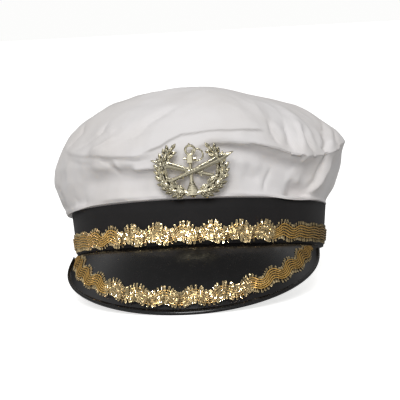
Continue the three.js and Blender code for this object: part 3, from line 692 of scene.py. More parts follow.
def lay_rows(lower, upper, shares):
    """The crown's face on a grid: elevations run from one edge to the other by the given shares."""
    elevations = lower[:, None] + (upper - lower)[:, None] * shares[None, :]
    reach = np.array([
        [touch_crown(b, e)[0] or np.nan for e in row] for b, row in zip(bearings, elevations)
    ])
    rows = np.arange(len(shares))
    for column in reach:
        seen = ~np.isnan(column)
        column[:] = np.interp(rows, rows[seen], column[seen])
    return elevations, reach


def to_points(elevations, reach):
    """Places on the crown, in mm, for a grid of elevations and distances from its middle."""
    around = bearings[:, None] + 0 * elevations
    return np.array(CROWN_MIDDLE) + towards(around, elevations) * reach[..., None]


def crease(points):
    """The cloth with its folds, slack and puckers, and the shade painted along its crease lines."""
    lift = swell(points, 1) + pucker(points)
    shade = np.zeros_like(lift)
    for fold in FOLDS:
        more, line = lay_fold(points, **fold)
        lift = lift + more
        shade = np.maximum(shade, line)
    lift = blurred(lift, CLOTH_STIFFNESS, CLOTH_STIFFNESS)
    held, loose = HELD_UP_TO
    free = smooth_step(points[..., 2], BAND["height"] + held, BAND["height"] + loose)
    return points + surface_normals(points) * (lift * free)[..., None], shade


def seam_dip(distance):
    """The groove that the seam pulls in the cloth, and the soft roll of its allowance beside it."""
    groove = SEAM["groove"] * np.exp(-np.abs(distance / SEAM["groove_width"]) ** 1.5)
    puff = SEAM["puff"] * np.exp(-((distance - SEAM["puff_at"]) / SEAM["puff_width"]) ** 2)
    return groove + puff


def within(part):
    """1 in the columns between two bearings, falling to 0 beyond them."""
    signed = (bearings + 180) % 360 - 180
    rising = smooth_step(signed, part["from"] - part["fade"], part["from"])
    return rising * smooth_step(-signed, -part["to"] - part["fade"], -part["to"])


def row_distance(points, from_row):
    """Distance of each row from one of the rows, measured down the columns."""
    steps = np.linalg.norm(np.diff(points, axis=1), axis=-1)
    run = np.concatenate([np.zeros((len(points), 1)), np.cumsum(steps, axis=1)], axis=1)
    return np.abs(run - run[:, from_row][:, None])


def cloth_mesh(name, points, shade, pole=None):
    """A ring of quads over a grid of columns and rows, closed by a pole if there is one."""
    columns, rows = points.shape[:2]
    faces = [
        (c * rows + r, (c + 1) % columns * rows + r, (c + 1) % columns * rows + r + 1, c * rows + r + 1)
        for c in range(columns)
        for r in range(rows - 1)
    ]
    corners = [STAND @ Vector(p) for p in points.reshape(-1, 3)]
    if pole is not None:
        corners.append(STAND @ Vector(pole))
        last = len(corners) - 1
        faces += [
            (c * rows + rows - 1, (c + 1) % columns * rows + rows - 1, last) for c in range(columns)
        ]
    mesh = bpy.data.meshes.new(name)
    mesh.from_pydata(corners, [], faces)
    mesh.shade_smooth()
    # The shade painted along pressed creases, kept for the cotton's colour.
    lines = mesh.attributes.new(name="painted_crease_shade", type="FLOAT", domain="POINT")
    lines.data.foreach_set("value", np.resize(shade.ravel(), len(corners)).astype(np.float32))
    # The cut edges stay sharp, so that the thickness does not round their shading.
    shape = bmesh.new()
    shape.from_mesh(mesh)
    for edge in shape.edges:
        edge.smooth = not edge.is_boundary
    shape.to_mesh(mesh)
    shape.free()
    return mesh


def give_thickness(piece, thickness):
    """Thickens cloth inward, so that its outer face stays."""
    wall = piece.modifiers.new("cloth", "SOLIDIFY")
    wall.thickness = thickness * MM
    wall.offset = -1


def cotton():
    """Bleached cotton twill: matt white, faintly warm in its shade, with a fine diagonal rib, and
    greyed by painted shade along pressed creases.
    """
    material, tree = new_material("white_cotton_twill")
    place = add_node(tree, "ShaderNodeTexCoord").outputs["Object"]
    turned = add_node(
        tree,
        "ShaderNodeMapping",
        {"Vector": place, "Rotation": TWILL_TURN},
    )
    ribs = add_node(
        tree,
        "ShaderNodeTexWave",
        {
            "Vector": turned.outputs[0],
            "Scale": math.tau / 20 / (TWILL_PITCH * MM),  # a band wave repeats every tau / 20
            "Distortion": 1.2,
            "Detail": 2.0,
            "Detail Scale": 2.0,
        },
        wave_type="BANDS",
        bands_direction="X",
    )
    slubs = add_node(
        tree, "ShaderNodeTexNoise", {"Vector": place, "Scale": 1 / (SLUB * MM), "Detail": 3.0}
    )
    height = add_node(
        tree,
        "ShaderNodeMath",
        {0: ribs.outputs["Fac"], 1: slubs.outputs["Fac"]},
        operation="ADD",
    )
    relief = add_node(
        tree,
        "ShaderNodeBump",
        {"Height": height.outputs[0], "Strength": 0.22, "Distance": 0.12 * MM},
    )
    soil = add_node(
        tree, "ShaderNodeTexNoise", {"Vector": place, "Scale": 1 / (SOIL_PATCH * MM), "Detail": 4.0}
    )
    amount = add_node(
        tree, "ShaderNodeMapRange", {"Value": soil.outputs["Fac"], "From Min": 0.4, "From Max": 0.75}
    )
    colour = add_node(
        tree,
        "ShaderNodeMix",
        {"Factor": amount.outputs[0], "A": linear(COTTON), "B": linear(COTTON_SHADE)},
        data_type="RGBA",
    )
    # Painted shade: the colour greys along pressed creases, which are too narrow for the mesh to shade.
    line = add_node(tree, "ShaderNodeAttribute", attribute_name="painted_crease_shade")
    with_painted_crease = add_node(
        tree,
        "ShaderNodeMix",
        {"Factor": line.outputs["Fac"], "A": colour.outputs[2], "B": linear(CREASE_PAINTED_SHADE)},
        data_type="RGBA",
    )
    shader = add_node(
        tree,
        "ShaderNodeBsdfPrincipled",
        {
            "Base Color": with_painted_crease.outputs[2],
            "Roughness": 0.78,
            "Normal": relief.outputs["Normal"],
            "Sheen Weight": 0.08,
            "Sheen Roughness": 0.5,
            "Specular IOR Level": 0.3,
        },
    )
    finish_material(tree, shader)
    return material


def cloth_face():
    """The crown's face with its facets blurred, up the side strip and on over the top, in mm. The row
    that the two share is the seam."""
    hem = np.array([highest(b, -30, 5, lambda reach, top: reach is None) for b in bearings])
    seam = np.array([highest(b, -2, 50, lambda reach, top: not top) for b in bearings])
    blur = FACET_BLUR_DEG * COLUMNS / 360
    hem = blurred(hem[:, None], blur)[:, 0] + EDGE_GAP["hem"]
    seam = blurred(seam[:, None], SEAM_BLUR * blur)[:, 0]

    # Rows crowd towards the edges of each part, where the cloth turns.
    even = np.linspace(0, 1, SIDE_ROWS)
    side_shares = even - SIDE_CROWDING * np.sin(math.tau * even)
    even = np.linspace(0, 1, TOP_ROWS)[:-1]
    crowded = TOP_CROWDING["share"]
    top_shares = (1 - crowded) * even + crowded * even ** TOP_CROWDING["power"]
    side_elevations, side_reach = lay_rows(hem, seam - EDGE_GAP["seam"], side_shares)
    top_elevations, top_reach = lay_rows(
        seam + EDGE_GAP["seam"], np.full(COLUMNS, 90.0), top_shares
    )
    side_reach = blurred(side_reach, blur, ROW_BLUR["side"])
    top_reach = blurred(top_reach, blur, ROW_BLUR["top"])
    side_reach[:, -1] = (side_reach[:, -1] + top_reach[:, 0]) / 2
    side_elevations[:, -1] = seam
    side = to_points(side_elevations, side_reach)
    top = to_points(top_elevations[:, 1:], top_reach[:, 1:])
    return np.concatenate([side, top], axis=1)


def turned_over(whole):
    """The cloth with a soft shoulder where the seam isn't pressed flat."""
    seam_row = SIDE_ROWS - 1
    near = np.exp(-(row_distance(whole, seam_row) / SHOULDER["reach"]) ** 2)
    near = near * within(ROUND_SEAM)[:, None]
    soft = np.stack([blurred(whole[..., i], 1.0, SHOULDER["rows"]) for i in range(3)], axis=-1)
    return whole + (soft - whole) * near[..., None]


def seam_grooves(whole):
    """How deep the seam sinks each point of the cloth, where it isn't pressed flat."""
    seam_row = SIDE_ROWS - 1
    depth = 1 - within(FLAT_SEAM)[:, None]
    dips = depth * seam_dip(row_distance(whole, seam_row))
    dips[:, :seam_row] *= SIDE_DIP
    dips[:, seam_row] = depth[:, 0] * SEAM["groove"]
    return dips


def foot_rows(side):
    """The side strip's foot, turned in under the hem and over the band's upper edge."""
    across = side[:, 0, 0] / BAND["half_width"]
    azimuths = np.arctan2(across, -side[:, 0, 1] / BAND["half_depth"])
    return np.array([
        [around_band(a, BAND["flare"] + out, BAND["height"] + up) for out, up in FOOT_ROWS]
        for a in azimuths
    ])


CROWN_SKIN, (SIDE_FACES, _) = skin_of("crown_side", "crown_top")
turns = np.arange(COLUMNS) / COLUMNS
bearings = 360 * (turns - CROWDING * np.sin(math.tau * turns) / math.tau)
face = cloth_face()
grooves = seam_grooves(face)
whole, shade = crease(turned_over(face))
whole = whole + surface_normals(whole) * grooves[..., None]
side, top = whole[:, :SIDE_ROWS], whole[:, SIDE_ROWS - 1:]
side = np.concatenate([foot_rows(side), side], axis=1)
side_shade = np.pad(shade[:, :SIDE_ROWS], ((0, 0), (len(FOOT_ROWS), 0)))
top_shade = shade[:, SIDE_ROWS - 1:]
centre = top[:, -1].mean(axis=0)
pole = centre + (centre - top[:, -2].mean(axis=0)) * 0.3

white_cotton = cotton()
crown_side = show("crown_side_strip", cloth_mesh("crown_side_strip", side, side_shade), white_cotton)
give_thickness(crown_side, CLOTH_THICKNESS)
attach(crown_side, "root")
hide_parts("crown_side")

crown_top = show("crown_top_panel", cloth_mesh("crown_top_panel", top, top_shade, pole), white_cotton)
give_thickness(crown_top, CLOTH_THICKNESS)
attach(crown_top, "root")
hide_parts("crown_top")


# ------------------------------------------------------------------ peak
# The peak is a curved plate of stiff board covered in black patent vinyl, with its rim rolled into a
# bead. A flange along its inner edge is sewn up inside the foot of the band.

GAP = 0.3  # mm left between pieces
PEAK = {
    "reach": 28.3,  # mm from the band to the rim in front, seen from above
    "end_reach": 2.4,  # and at the peak's ends
    "end_drop": 2.6,  # mm from the band's lower edge down to the rim there
    "left_span": 72,  # degrees from its middle to each end
    "right_span": 69,
    "turn": -1.2,  # degrees by which its middle is off the hat's
    "sweep": (2.8, 1.2),  # how full the outline is, and how fast it runs out toward the ends
    "camber": 3.0,  # mm by which the face bulges between band and rim
    "wall": 1.8,
    "bead": 1.4,  # radius of the rolled rim
    "flange": 9.0,  # height of the part inside the band
    "band_wall": 2.0,
    "rest_flat": 0.5,  # mm pressed flat at the back of the band, where the hat rests
}
PEAK_STATIONS = 180
FACE_STEPS = 22
FACE_END = 0.955  # where the face runs into the bead, as a share of the way to the rim
BEAD_STEPS = 12
BEAD_SWEEP = 230  # degrees of the bead's round that show
FOLD_ANGLE = math.radians(25)  # sharper edges are shaded as edges
DUST = 6.0  # mm between specks and between dull patches of the coat
RIPPLE = 16.7  # mm between the board's faint swells under the vinyl
COAT_ROUGHNESS = {"clean": 0.16, "dusty": 0.34}
PATENT_BLACK = "#0b0a0a"
DUST_GREY = "#5c574d"


def peak_drop():
    """How far the rim hangs below the band's lower edge in front, where it rests on the table."""
    front = -(BAND["half_depth"] + PEAK["reach"])
    table = PEAK["rest_flat"] + (front - BAND["half_depth"]) * math.tan(LEAN)
    return -table - PEAK["bead"] / math.cos(LEAN)


def peak_azimuth(u):
    """The bearing of a place along the peak. u is -1 at the left end and 1 at the right."""
    return math.radians(PEAK["turn"] + u * (PEAK["left_span"] if u < 0 else PEAK["right_span"]))


def peak_face(u, t):
    """The upper face at u along the peak, as (out, height). t is 0 at the band and 1 at the rim."""
    power, taper = PEAK["sweep"]
    fullness = max(0.0, 1 - abs(u) ** power) ** taper
    reach = PEAK["end_reach"] + (PEAK["reach"] - PEAK["end_reach"]) * fullness
    drop = PEAK["end_drop"] + (peak_drop() - PEAK["end_drop"]) * math.cos(math.pi / 2 * u)
    slope = Vector((reach, GAP - drop))
    share = (slope.length / math.hypot(PEAK["reach"], peak_drop())) ** 2
    bulge = PEAK["camber"] * 4 * t * (1 - t) * share
    return Vector((
        reach * t + drop / slope.length * bulge,
        -GAP + slope.y * t + reach / slope.length * bulge,
    ))


def peak_slope(u, t):
    """Which way the upper face runs, from the band to the rim."""
    start = min(t, 0.99)
    return (peak_face(u, start + 0.01) - peak_face(u, start)).normalized()


def peak_section(u):
    """The peak cut across at u: flange, upper face, rolled rim and underside."""
    outer = -(PEAK["band_wall"] + GAP)
    inner = outer - PEAK["wall"]
    levels = [FACE_END * i / FACE_STEPS for i in range(FACE_STEPS + 1)]
    section = [Vector((inner, PEAK["flange"])), Vector((outer, PEAK["flange"]))]
    section.append(Vector((outer, -GAP)))
    section += [peak_face(u, t) for t in levels]
    rim, along = peak_face(u, 1), peak_slope(u, 1)
    for i in range(BEAD_STEPS + 1):
        spoke = along.copy()
        spoke.rotate(Matrix.Rotation(math.radians(BEAD_SWEEP * (0.5 - i / BEAD_STEPS)), 2))
        section.append(rim + PEAK["bead"] * spoke)
    for t in reversed(levels[1:-1]):
        down = peak_slope(u, t)
        section.append(peak_face(u, t) + PEAK["wall"] * Vector((down.y, -down.x)))
    section.append(Vector((inner, -GAP - PEAK["wall"])))
    return section


def loft(name, sections, smooth_below):
    """Closed sections joined in a row and capped at both ends, with edges smooth below an angle."""
    count = len(sections[0])
    faces = [
        (s * count + i, s * count + (i + 1) % count,
         (s + 1) * count + (i + 1) % count, (s + 1) * count + i)
        for s in range(len(sections) - 1)
        for i in range(count)
    ]
    last = (len(sections) - 1) * count
    faces += [tuple(reversed(range(count))), tuple(last + i for i in range(count))]
    mesh = bpy.data.meshes.new(name)
    mesh.from_pydata([STAND @ Vector(p) for section in sections for p in section], [], faces)
    shape = bmesh.new()
    shape.from_mesh(mesh)
    bmesh.ops.recalc_face_normals(shape, faces=shape.faces)
    for face in shape.faces:
        face.smooth = len(face.verts) == 4
    for edge in shape.edges:
        edge.smooth = edge.calc_face_angle(0) < smooth_below
    shape.to_mesh(mesh)
    shape.free()
    return mesh


def patent():
    """Patent vinyl, calendered on to board: black under a clear gloss coat that mirrors the room.
    A little dust dulls it in patches, and the board under it swells faintly."""
    material, tree = new_material("black_patent_vinyl")
    place = add_node(tree, "ShaderNodeTexCoord").outputs["Object"]
    dust = add_node(
        tree,
        "ShaderNodeTexNoise",
        {"Vector": place, "Scale": 1 / (DUST * MM), "Detail": 6.0, "Roughness": 0.7},
    )
    specks = add_node(
        tree, "ShaderNodeMapRange", {"Value": dust.outputs["Fac"], "From Min": 0.72, "From Max": 0.95}
    )
    colour = add_node(
        tree,
        "ShaderNodeMix",
        {"Factor": specks.outputs[0], "A": linear(PATENT_BLACK), "B": linear(DUST_GREY)},
        data_type="RGBA",
    )
    rough = add_node(
        tree,
        "ShaderNodeMapRange",
        {
            "Value": dust.outputs["Fac"],
            "From Min": 0.35,
            "From Max": 0.8,
            "To Min": COAT_ROUGHNESS["clean"],
            "To Max": COAT_ROUGHNESS["dusty"],
        },
    )
    ripple = add_node(
        tree, "ShaderNodeTexNoise", {"Vector": place, "Scale": 1 / (RIPPLE * MM), "Detail": 2.0}
    )
    relief = add_node(
        tree,
        "ShaderNodeBump",
        {"Height": ripple.outputs["Fac"], "Strength": 0.06, "Distance": 0.4 * MM},
    )
    shader = add_node(
        tree,
        "ShaderNodeBsdfPrincipled",
        {
            "Base Color": colour.outputs[2],
            "Roughness": rough.outputs[0],
            "IOR": 1.52,
            "Coat Weight": 0.25,
            "Coat Roughness": 0.1,
            "Normal": relief.outputs["Normal"],
        },
    )
    finish_material(tree, shader)
    return material


peak_sections = []
for i in range(PEAK_STATIONS + 1):
    u = 2 * i / PEAK_STATIONS - 1
    peak_sections.append([around_band(peak_azimuth(u), p.x, p.y) for p in peak_section(u)])
peak = show("patent_peak", loft("patent_peak", peak_sections, FOLD_ANGLE), patent())
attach(peak, "root")
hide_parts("peak")


# ------------------------------------------------------------------ gold braid
# Two runs of scalloped gimp braid, glued on: one round the band, closed at the back, and one along
# the peak. Gold thread is looped across five cords that run in waves, and the loops stand out as a
# fringe along both edges.

BRAID = {
    "width": 11.6,  # mm between its edges, without their waves
    "swing": 2.4,  # mm by which the upper edge waves up and down
    "lower_drop": 0.8,  # mm by which the lower edge hangs further from the middle
    "lower_swing": 1.3,
    "lobe": 0.2,  # how much broader a wave's outer half is than its inner one
    "lay": 0.6,  # how far the loops lean with the waves
}
# Lengths are in mm. A wave is a period long, and one has its crest that far from where the run starts:
# the front of the band, or the left end of the peak. The lower edge's waves lead by some degrees.
# loose: the stretch, from the front, where the loops have worked up, and how long they take to settle.
# taut: how far from the front the waves start to flatten, where they stop, and what share is left.
BAND_BRAID = {
    "height": 7.8,  # mm from the band's foot to the middle line in front
    "back_height": 9.2,
    "period": 18.1,
    "crest": -2.7,
    "lead": 66,
    "loose": (-48, 56, 8),
    "taut": (60, 98, 0.2),
}
PEAK_BRAID = {
    "inset": 10.2,  # mm from the rim to the middle line in front
    "side_inset": 13.2,
    "side_from": 0.1,  # places along the peak between which the one becomes the other
    "side_to": 0.55,
    "period": 18.9,
    "crest": 5.4,
    "lead": 0,
    "loose": (-52, 44, 8),
    "taut": (70, 110, 0.7),
    "band_clearance": 2.4,  # mm that stay free beside the band
    "end_width": 3.0,  # what is left of the braid's width where it ends
}
GUIDE_STEP = 0.6  # mm between the points of a braid's guide line
ELLIPSE_STEPS = 2880  # for measuring round the band
PEAK_STEPS = 320  # and along the peak
# Where the braid is worn, between the loose front and the taut back, in patches of this many mm.
WEAR = {"patch": 24, "from": 0.6, "to": 0.9, "rise": 0.3}
FOIL_TURN = 1.15  # mm of foil that lies at one angle, coarser than real so that the sparkle shows
FOIL_SCATTER = (0.5, 1.05)  # how far those angles differ, in tight and in loose thread
CORD_SHADE = (1.7, 0.2)  # how far loops have risen over a cord when it is all and not in shade
THREAD_SHADE = (0.15, 0.75)  # how squarely a thread's side faces out where its shade starts and ends
JOIN_WIDTH = 0.4  # radians of the wave over which the shade between two lobes spreads
JOIN_SHADE = (1.3, 0.2)  # how near that join a thread is when it would be all and not in shade
LOOP_END = (0.72, 0.84)  # where along a loop, from its middle, it comes out from under the cords
DULL_FOIL = 0.45  # the dullest turn of foil, as a share of the brightest
FOIL_METAL = 0.85  # the rest is the yarn that shows between the turns
GIMP = {
    "Cords": 5,
    "Cord Radius": 0.4 * MM,
    "Cord Height": 1.25 * MM,  # of a cord's middle over what the braid lies on
    "Cord Share": 0.68,  # of the braid's width that the cords take up
    "Cord Step": 0.55 * MM,
    "Wrap Pitch": 1.5 * MM,  # from turn to turn of the foil wound round a cord
    "Wrap Depth": 0.16,  # how much each turn stands out, as a share of the cord's radius
    "Loop Pitch": 1.8 * MM,
    "Loop Span": BRAID["width"] * MM,
    "Loop Radius": 0.46 * MM,  # of its round ends
    "Thread Radius": 0.23 * MM,
    "Loop Height": 0.45 * MM,  # of tight loops over what the braid lies on
    "Loop Rise": 1.5 * MM,  # how much higher loose ones are
    "Tilt": math.radians(6),  # the most that a loop is turned out of line
    "Seed": 7,
}
CORD_SIDES, THREAD_SIDES, LOOP_POINTS = 6, 4, 12
GOLD_CORD = "#d6aa5c"
GOLD_THREAD = "#f0d8a4"
GOLD_SHADE = "#3a2814"  # the painted shade between threads, where lobes meet, under the cords and on cords under risen loops


def from_front(along, run):
    """How far a place on the braid is from its middle at the front; negative to the left."""
    half = run["length"] / 2
    return (along + half) % run["length"] - half if run["closed"] else along - half


def braid_edges(along, run):
    """Heights of the upper and lower edge over the braid's middle line."""
    phase = math.tau * (along - run["crest"]) / run["period"]
    lower = phase + math.radians(run["lead"])
    half, lobe = BRAID["width"] / 2, BRAID["lobe"]
    start, end, least = run["taut"]
    slack = 1 - (1 - least) * float(smooth_step(abs(from_front(along, run)), start, end))
    upper_wave = math.cos(phase) - lobe * math.cos(2 * phase)
    lower_wave = math.cos(lower) + lobe * math.cos(2 * lower)
    return (
        half + slack * BRAID["swing"] * upper_wave,
        -half - BRAID["lower_drop"] + slack * BRAID["lower_swing"] * lower_wave,
    )


def loop_ends(along, run):
    """Where the loop over one place of the middle line starts and ends: (along, over) for both.
    A loop leans with the wave, so that the loops fan out round each lobe."""
    step = 0.1
    middle = [sum(braid_edges(along + s, run)) / 2 for s in (-step, 0, step)]
    lean = math.atan(BRAID["lay"] * (middle[2] - middle[0]) / (2 * step))
    ends = []
    for which in (0, 1):
        length = braid_edges(along, run)[which] - middle[1]
        # Each turn halves how far the loop's end misses the edge.
        for _ in range(6):
            over = braid_edges(along - math.sin(lean) * length, run)[which]
            length = 0.5 * length + 0.5 * (over - middle[1]) / math.cos(lean)
        ends.append((along - math.sin(lean) * length, middle[1] + math.cos(lean) * length))
    return ends


def looseness(along, run):
    """From 0, where the loops lie tight under the cords, to 1, where they have worked up over them."""
    start, end, fade = run["loose"]
    place = from_front(along, run)
    worn = 0.5 + 0.5 * noise.noise(Vector((place / WEAR["patch"], run["crest"], 0)))
    worn = WEAR["rise"] * smooth_step(worn, WEAR["from"], WEAR["to"])
    inside = smooth_step(place, start - fade, start) * smooth_step(-place, -end - fade, -end)
    return float(inside + (1 - inside) * worn)


def braid_guide(name, run, place):
    """A line along the braid's middle. Each point knows its loop's span, the surface's normal, how
    far the loops have worked up over the cords there and how near it is to the join of two lobes."""
    length, closed = run["length"], run["closed"]
    count = round(length / GUIDE_STEP)
    stations = [length * i / count for i in range(count if closed else count + 1)]
    points, spans, normals, rises, joins = [], [], [], [], []
    for along in stations:
        (upper_along, upper), (lower_along, lower) = loop_ends(along, run)
        high, normal = place(upper_along, upper)
        low, other = place(lower_along, lower)
        points.append(STAND @ ((high + low) / 2))
        spans.append(STAND.to_3x3() @ (high - low))
        normals.append((STAND.to_3x3() @ (normal + other)).normalized())
        rises.append(looseness(along, run))
        turn = math.tau * ((along - run["crest"]) / run["period"] % 1) - math.pi
        joins.append(math.exp(-((turn / JOIN_WIDTH) ** 2)) * rises[-1])
    edges = [(i, i + 1) for i in range(len(points) - 1)]
    if closed:
        edges.append((len(points) - 1, 0))
    mesh = bpy.data.meshes.new(name)
    mesh.from_pydata(points, edges, [])
    for attribute, values in (("span", spans), ("out", normals)):
        layer = mesh.attributes.new(attribute, "FLOAT_VECTOR", "POINT")
        layer.data.foreach_set("vector", [c for v in values for c in v])
    for attribute, values in (("rise", rises), ("join", joins)):
        mesh.attributes.new(attribute, "FLOAT", "POINT").data.foreach_set("value", values)
    return mesh


def gimp_tree(cord, thread):
    """The rule by which gimp braid is made along a guide line."""
    tree = bpy.data.node_groups.new("gimp_braid", "GeometryNodeTree")
    tree.interface.new_socket("Geometry", in_out="INPUT", socket_type="NodeSocketGeometry")
    for name, value in GIMP.items():
        kind = "NodeSocketInt" if isinstance(value, int) else "NodeSocketFloat"
        tree.interface.new_socket(name, in_out="INPUT", socket_type=kind)
    tree.interface.new_socket("Geometry", in_out="OUTPUT", socket_type="NodeSocketGeometry")
    sizes = add_node(tree, "NodeGroupInput").outputs
    span = add_node(tree, "GeometryNodeInputNamedAttribute", {"Name": "span"}, data_type="FLOAT_VECTOR")
    out = add_node(tree, "GeometryNodeInputNamedAttribute", {"Name": "out"}, data_type="FLOAT_VECTOR")
    span, out = span.outputs[0], out.outputs[0]
    line = add_node(tree, "GeometryNodeMeshToCurve", {"Mesh": sizes["Geometry"]})

    # Cords: copies of the line, each moved across to its place and swept with a wrapped section.
    fine = add_node(
        tree,
        "GeometryNodeResampleCurve",
        {"Curve": line.outputs[0], "Length": sizes["Cord Step"]},
        mode="LENGTH",
    )
    copies = add_node(
        tree,
        "GeometryNodeDuplicateElements",
        {"Geometry": fine.outputs[0], "Amount": sizes["Cords"]},
        domain="SPLINE",
    )
    number = add_node(
        tree, "ShaderNodeMath", {0: copies.outputs["Duplicate Index"], 1: 0.5}, operation="ADD"
    )
    share = add_node(
        tree, "ShaderNodeMath", {0: number.outputs[0], 1: sizes["Cords"]}, operation="DIVIDE"
    )
    centred = add_node(tree, "ShaderNodeMath", {0: share.outputs[0], 1: 0.5}, operation="SUBTRACT")
    narrowed = add_node(
        tree,
        "ShaderNodeMath",
        {0: centred.outputs[0], 1: sizes["Cord Share"]},
        operation="MULTIPLY",
    )
    across = add_node(
        tree, "ShaderNodeVectorMath", {0: span, "Scale": narrowed.outputs[0]}, operation="SCALE"
    )
    lifted = add_node(
        tree, "ShaderNodeVectorMath", {0: out, "Scale": sizes["Cord Height"]}, operation="SCALE"
    )
    offset = add_node(
        tree, "ShaderNodeVectorMath", {0: across.outputs[0], 1: lifted.outputs[0]}, operation="ADD"
    )
    moved = add_node(
        tree,
        "GeometryNodeSetPosition",
        {"Geometry": copies.outputs["Geometry"], "Offset": offset.outputs[0]},
    )
    turns = add_node(
        tree,
        "ShaderNodeMath",
        {0: add_node(tree, "GeometryNodeSplineParameter").outputs["Length"], 1: sizes["Wrap Pitch"]},
        operation="DIVIDE",
    )
    angle = add_node(tree, "ShaderNodeMath", {0: turns.outputs[0], 1: math.tau}, operation="MULTIPLY")
    wave = add_node(tree, "ShaderNodeMath", {0: angle.outputs[0]}, operation="SINE")
    swollen = add_node(
        tree,
        "ShaderNodeMath",
        {0: wave.outputs[0], 1: sizes["Wrap Depth"], 2: 1.0},
        operation="MULTIPLY_ADD",
    )
    section = add_node(
        tree,
        "GeometryNodeCurvePrimitiveCircle",
        {"Resolution": CORD_SIDES, "Radius": sizes["Cord Radius"]},
    )
    wrapped = add_node(
        tree,
        "GeometryNodeSetCurveRadius",
        {"Curve": moved.outputs[0], "Radius": swollen.outputs[0]},
    )
    cords = add_node(
        tree,
        "GeometryNodeCurveToMesh",
        {"Curve": wrapped.outputs[0], "Profile Curve": section.outputs[0], "Fill Caps": True},
    )
    cords = add_node(
        tree, "GeometryNodeSetMaterial", {"Geometry": cords.outputs[0], "Material": cord}
    )

    # Loops: one long narrow ring of thread, laid across the cords over and over.
    round_end = add_node(
        tree,
        "GeometryNodeCurvePrimitiveCircle",
        {"Resolution": LOOP_POINTS, "Radius": sizes["Loop Radius"]},
    )
    place = add_node(tree, "GeometryNodeInputPosition")
    parts = add_node(tree, "ShaderNodeSeparateXYZ", {0: place.outputs[0]})
    end = add_node(tree, "ShaderNodeMath", {0: parts.outputs["Y"]}, operation="SIGN")
    half = add_node(
        tree, "ShaderNodeMath", {0: sizes["Loop Span"], 1: 0.5}, operation="MULTIPLY"
    )
    straight = add_node(
        tree, "ShaderNodeMath", {0: half.outputs[0], 1: sizes["Loop Radius"]}, operation="SUBTRACT"
    )
    stretch = add_node(
        tree, "ShaderNodeMath", {0: end.outputs[0], 1: straight.outputs[0]}, operation="MULTIPLY"
    )
    pull = add_node(tree, "ShaderNodeCombineXYZ", {"Y": stretch.outputs[0]})
    ring = add_node(
        tree, "GeometryNodeSetPosition", {"Geometry": round_end.outputs[0], "Offset": pull.outputs[0]}
    )
    thread_section = add_node(
        tree,
        "GeometryNodeCurvePrimitiveCircle",
        {"Resolution": THREAD_SIDES, "Radius": sizes["Thread Radius"]},
    )
    loop = add_node(
        tree,
        "GeometryNodeCurveToMesh",
        {"Curve": ring.outputs[0], "Profile Curve": thread_section.outputs[0]},
    )
    outward = add_node(
        tree, "ShaderNodeMath", {0: parts.outputs["Y"]}, operation="ABSOLUTE"
    )
    nearness = add_node(
        tree, "ShaderNodeMath", {0: outward.outputs[0], 1: half.outputs[0]}, operation="DIVIDE"
    )
    loop = add_node(
        tree,
        "GeometryNodeStoreNamedAttribute",
        {"Geometry": loop.outputs[0], "Name": "near_end", "Value": nearness.outputs[0]},
        data_type="FLOAT",
        domain="POINT",
    )
    places = add_node(
        tree,
        "GeometryNodeResampleCurve",
        {"Curve": line.outputs[0], "Length": sizes["Loop Pitch"]},
        mode="LENGTH",
    )
    loose = add_node(tree, "GeometryNodeInputNamedAttribute", {"Name": "rise"}, data_type="FLOAT")
    level = add_node(
        tree,
        "ShaderNodeMath",
        {0: loose.outputs[0], 1: sizes["Loop Rise"], 2: sizes["Loop Height"]},
        operation="MULTIPLY_ADD",
    )
    raised = add_node(
        tree, "ShaderNodeVectorMath", {0: out, "Scale": level.outputs[0]}, operation="SCALE"
    )
    places = add_node(
        tree,
        "GeometryNodeSetPosition",
        {"Geometry": places.outputs[0], "Offset": raised.outputs[0]},
    )
    facing = add_node(
        tree,
        "FunctionNodeAxesToRotation",
        {0: out, 1: span},
        primary_axis="Z",
        secondary_axis="Y",
    )
    tilt = add_node(
        tree,
        "FunctionNodeRandomValue",
        {"Min": -1.0, "Max": 1.0, "Seed": sizes["Seed"]},
        data_type="FLOAT",
    )
    lean = add_node(
        tree, "ShaderNodeMath", {0: tilt.outputs[1], 1: sizes["Tilt"]}, operation="MULTIPLY"
    )
    spin = add_node(tree, "ShaderNodeCombineXYZ", {"Z": lean.outputs[0]})
    spin = add_node(tree, "FunctionNodeEulerToRotation", {0: spin.outputs[0]})
    facing = add_node(
        tree,
        "FunctionNodeRotateRotation",
        {0: facing.outputs[0], 1: spin.outputs[0]},
        rotation_space="LOCAL",
    )
    reach = add_node(tree, "ShaderNodeVectorMath", {0: span}, operation="LENGTH")
    stretched = add_node(
        tree,
        "ShaderNodeMath",
        {0: reach.outputs["Value"], 1: sizes["Loop Span"]},
        operation="DIVIDE",
    )
    scale = add_node(tree, "ShaderNodeCombineXYZ", {"X": 1.0, "Y": stretched.outputs[0], "Z": 1.0})
    laid = add_node(
        tree,
        "GeometryNodeInstanceOnPoints",
        {
            "Points": places.outputs[0],
            "Instance": loop.outputs[0],
            "Rotation": facing.outputs[0],
            "Scale": scale.outputs[0],
        },
    )
    real = add_node(tree, "GeometryNodeRealizeInstances", {"Geometry": laid.outputs[0]})
    loops = add_node(
        tree, "GeometryNodeSetMaterial", {"Geometry": real.outputs[0], "Material": thread}
    )
    both = add_node(tree, "GeometryNodeJoinGeometry")
    tree.links.new(loops.outputs[0], both.inputs[0])
    tree.links.new(cords.outputs[0], both.inputs[0])
    smooth = add_node(tree, "GeometryNodeSetShadeSmooth", {"Geometry": both.outputs[0]})
    add_node(tree, "NodeGroupOutput", {"Geometry": smooth.outputs[0]})
    return tree


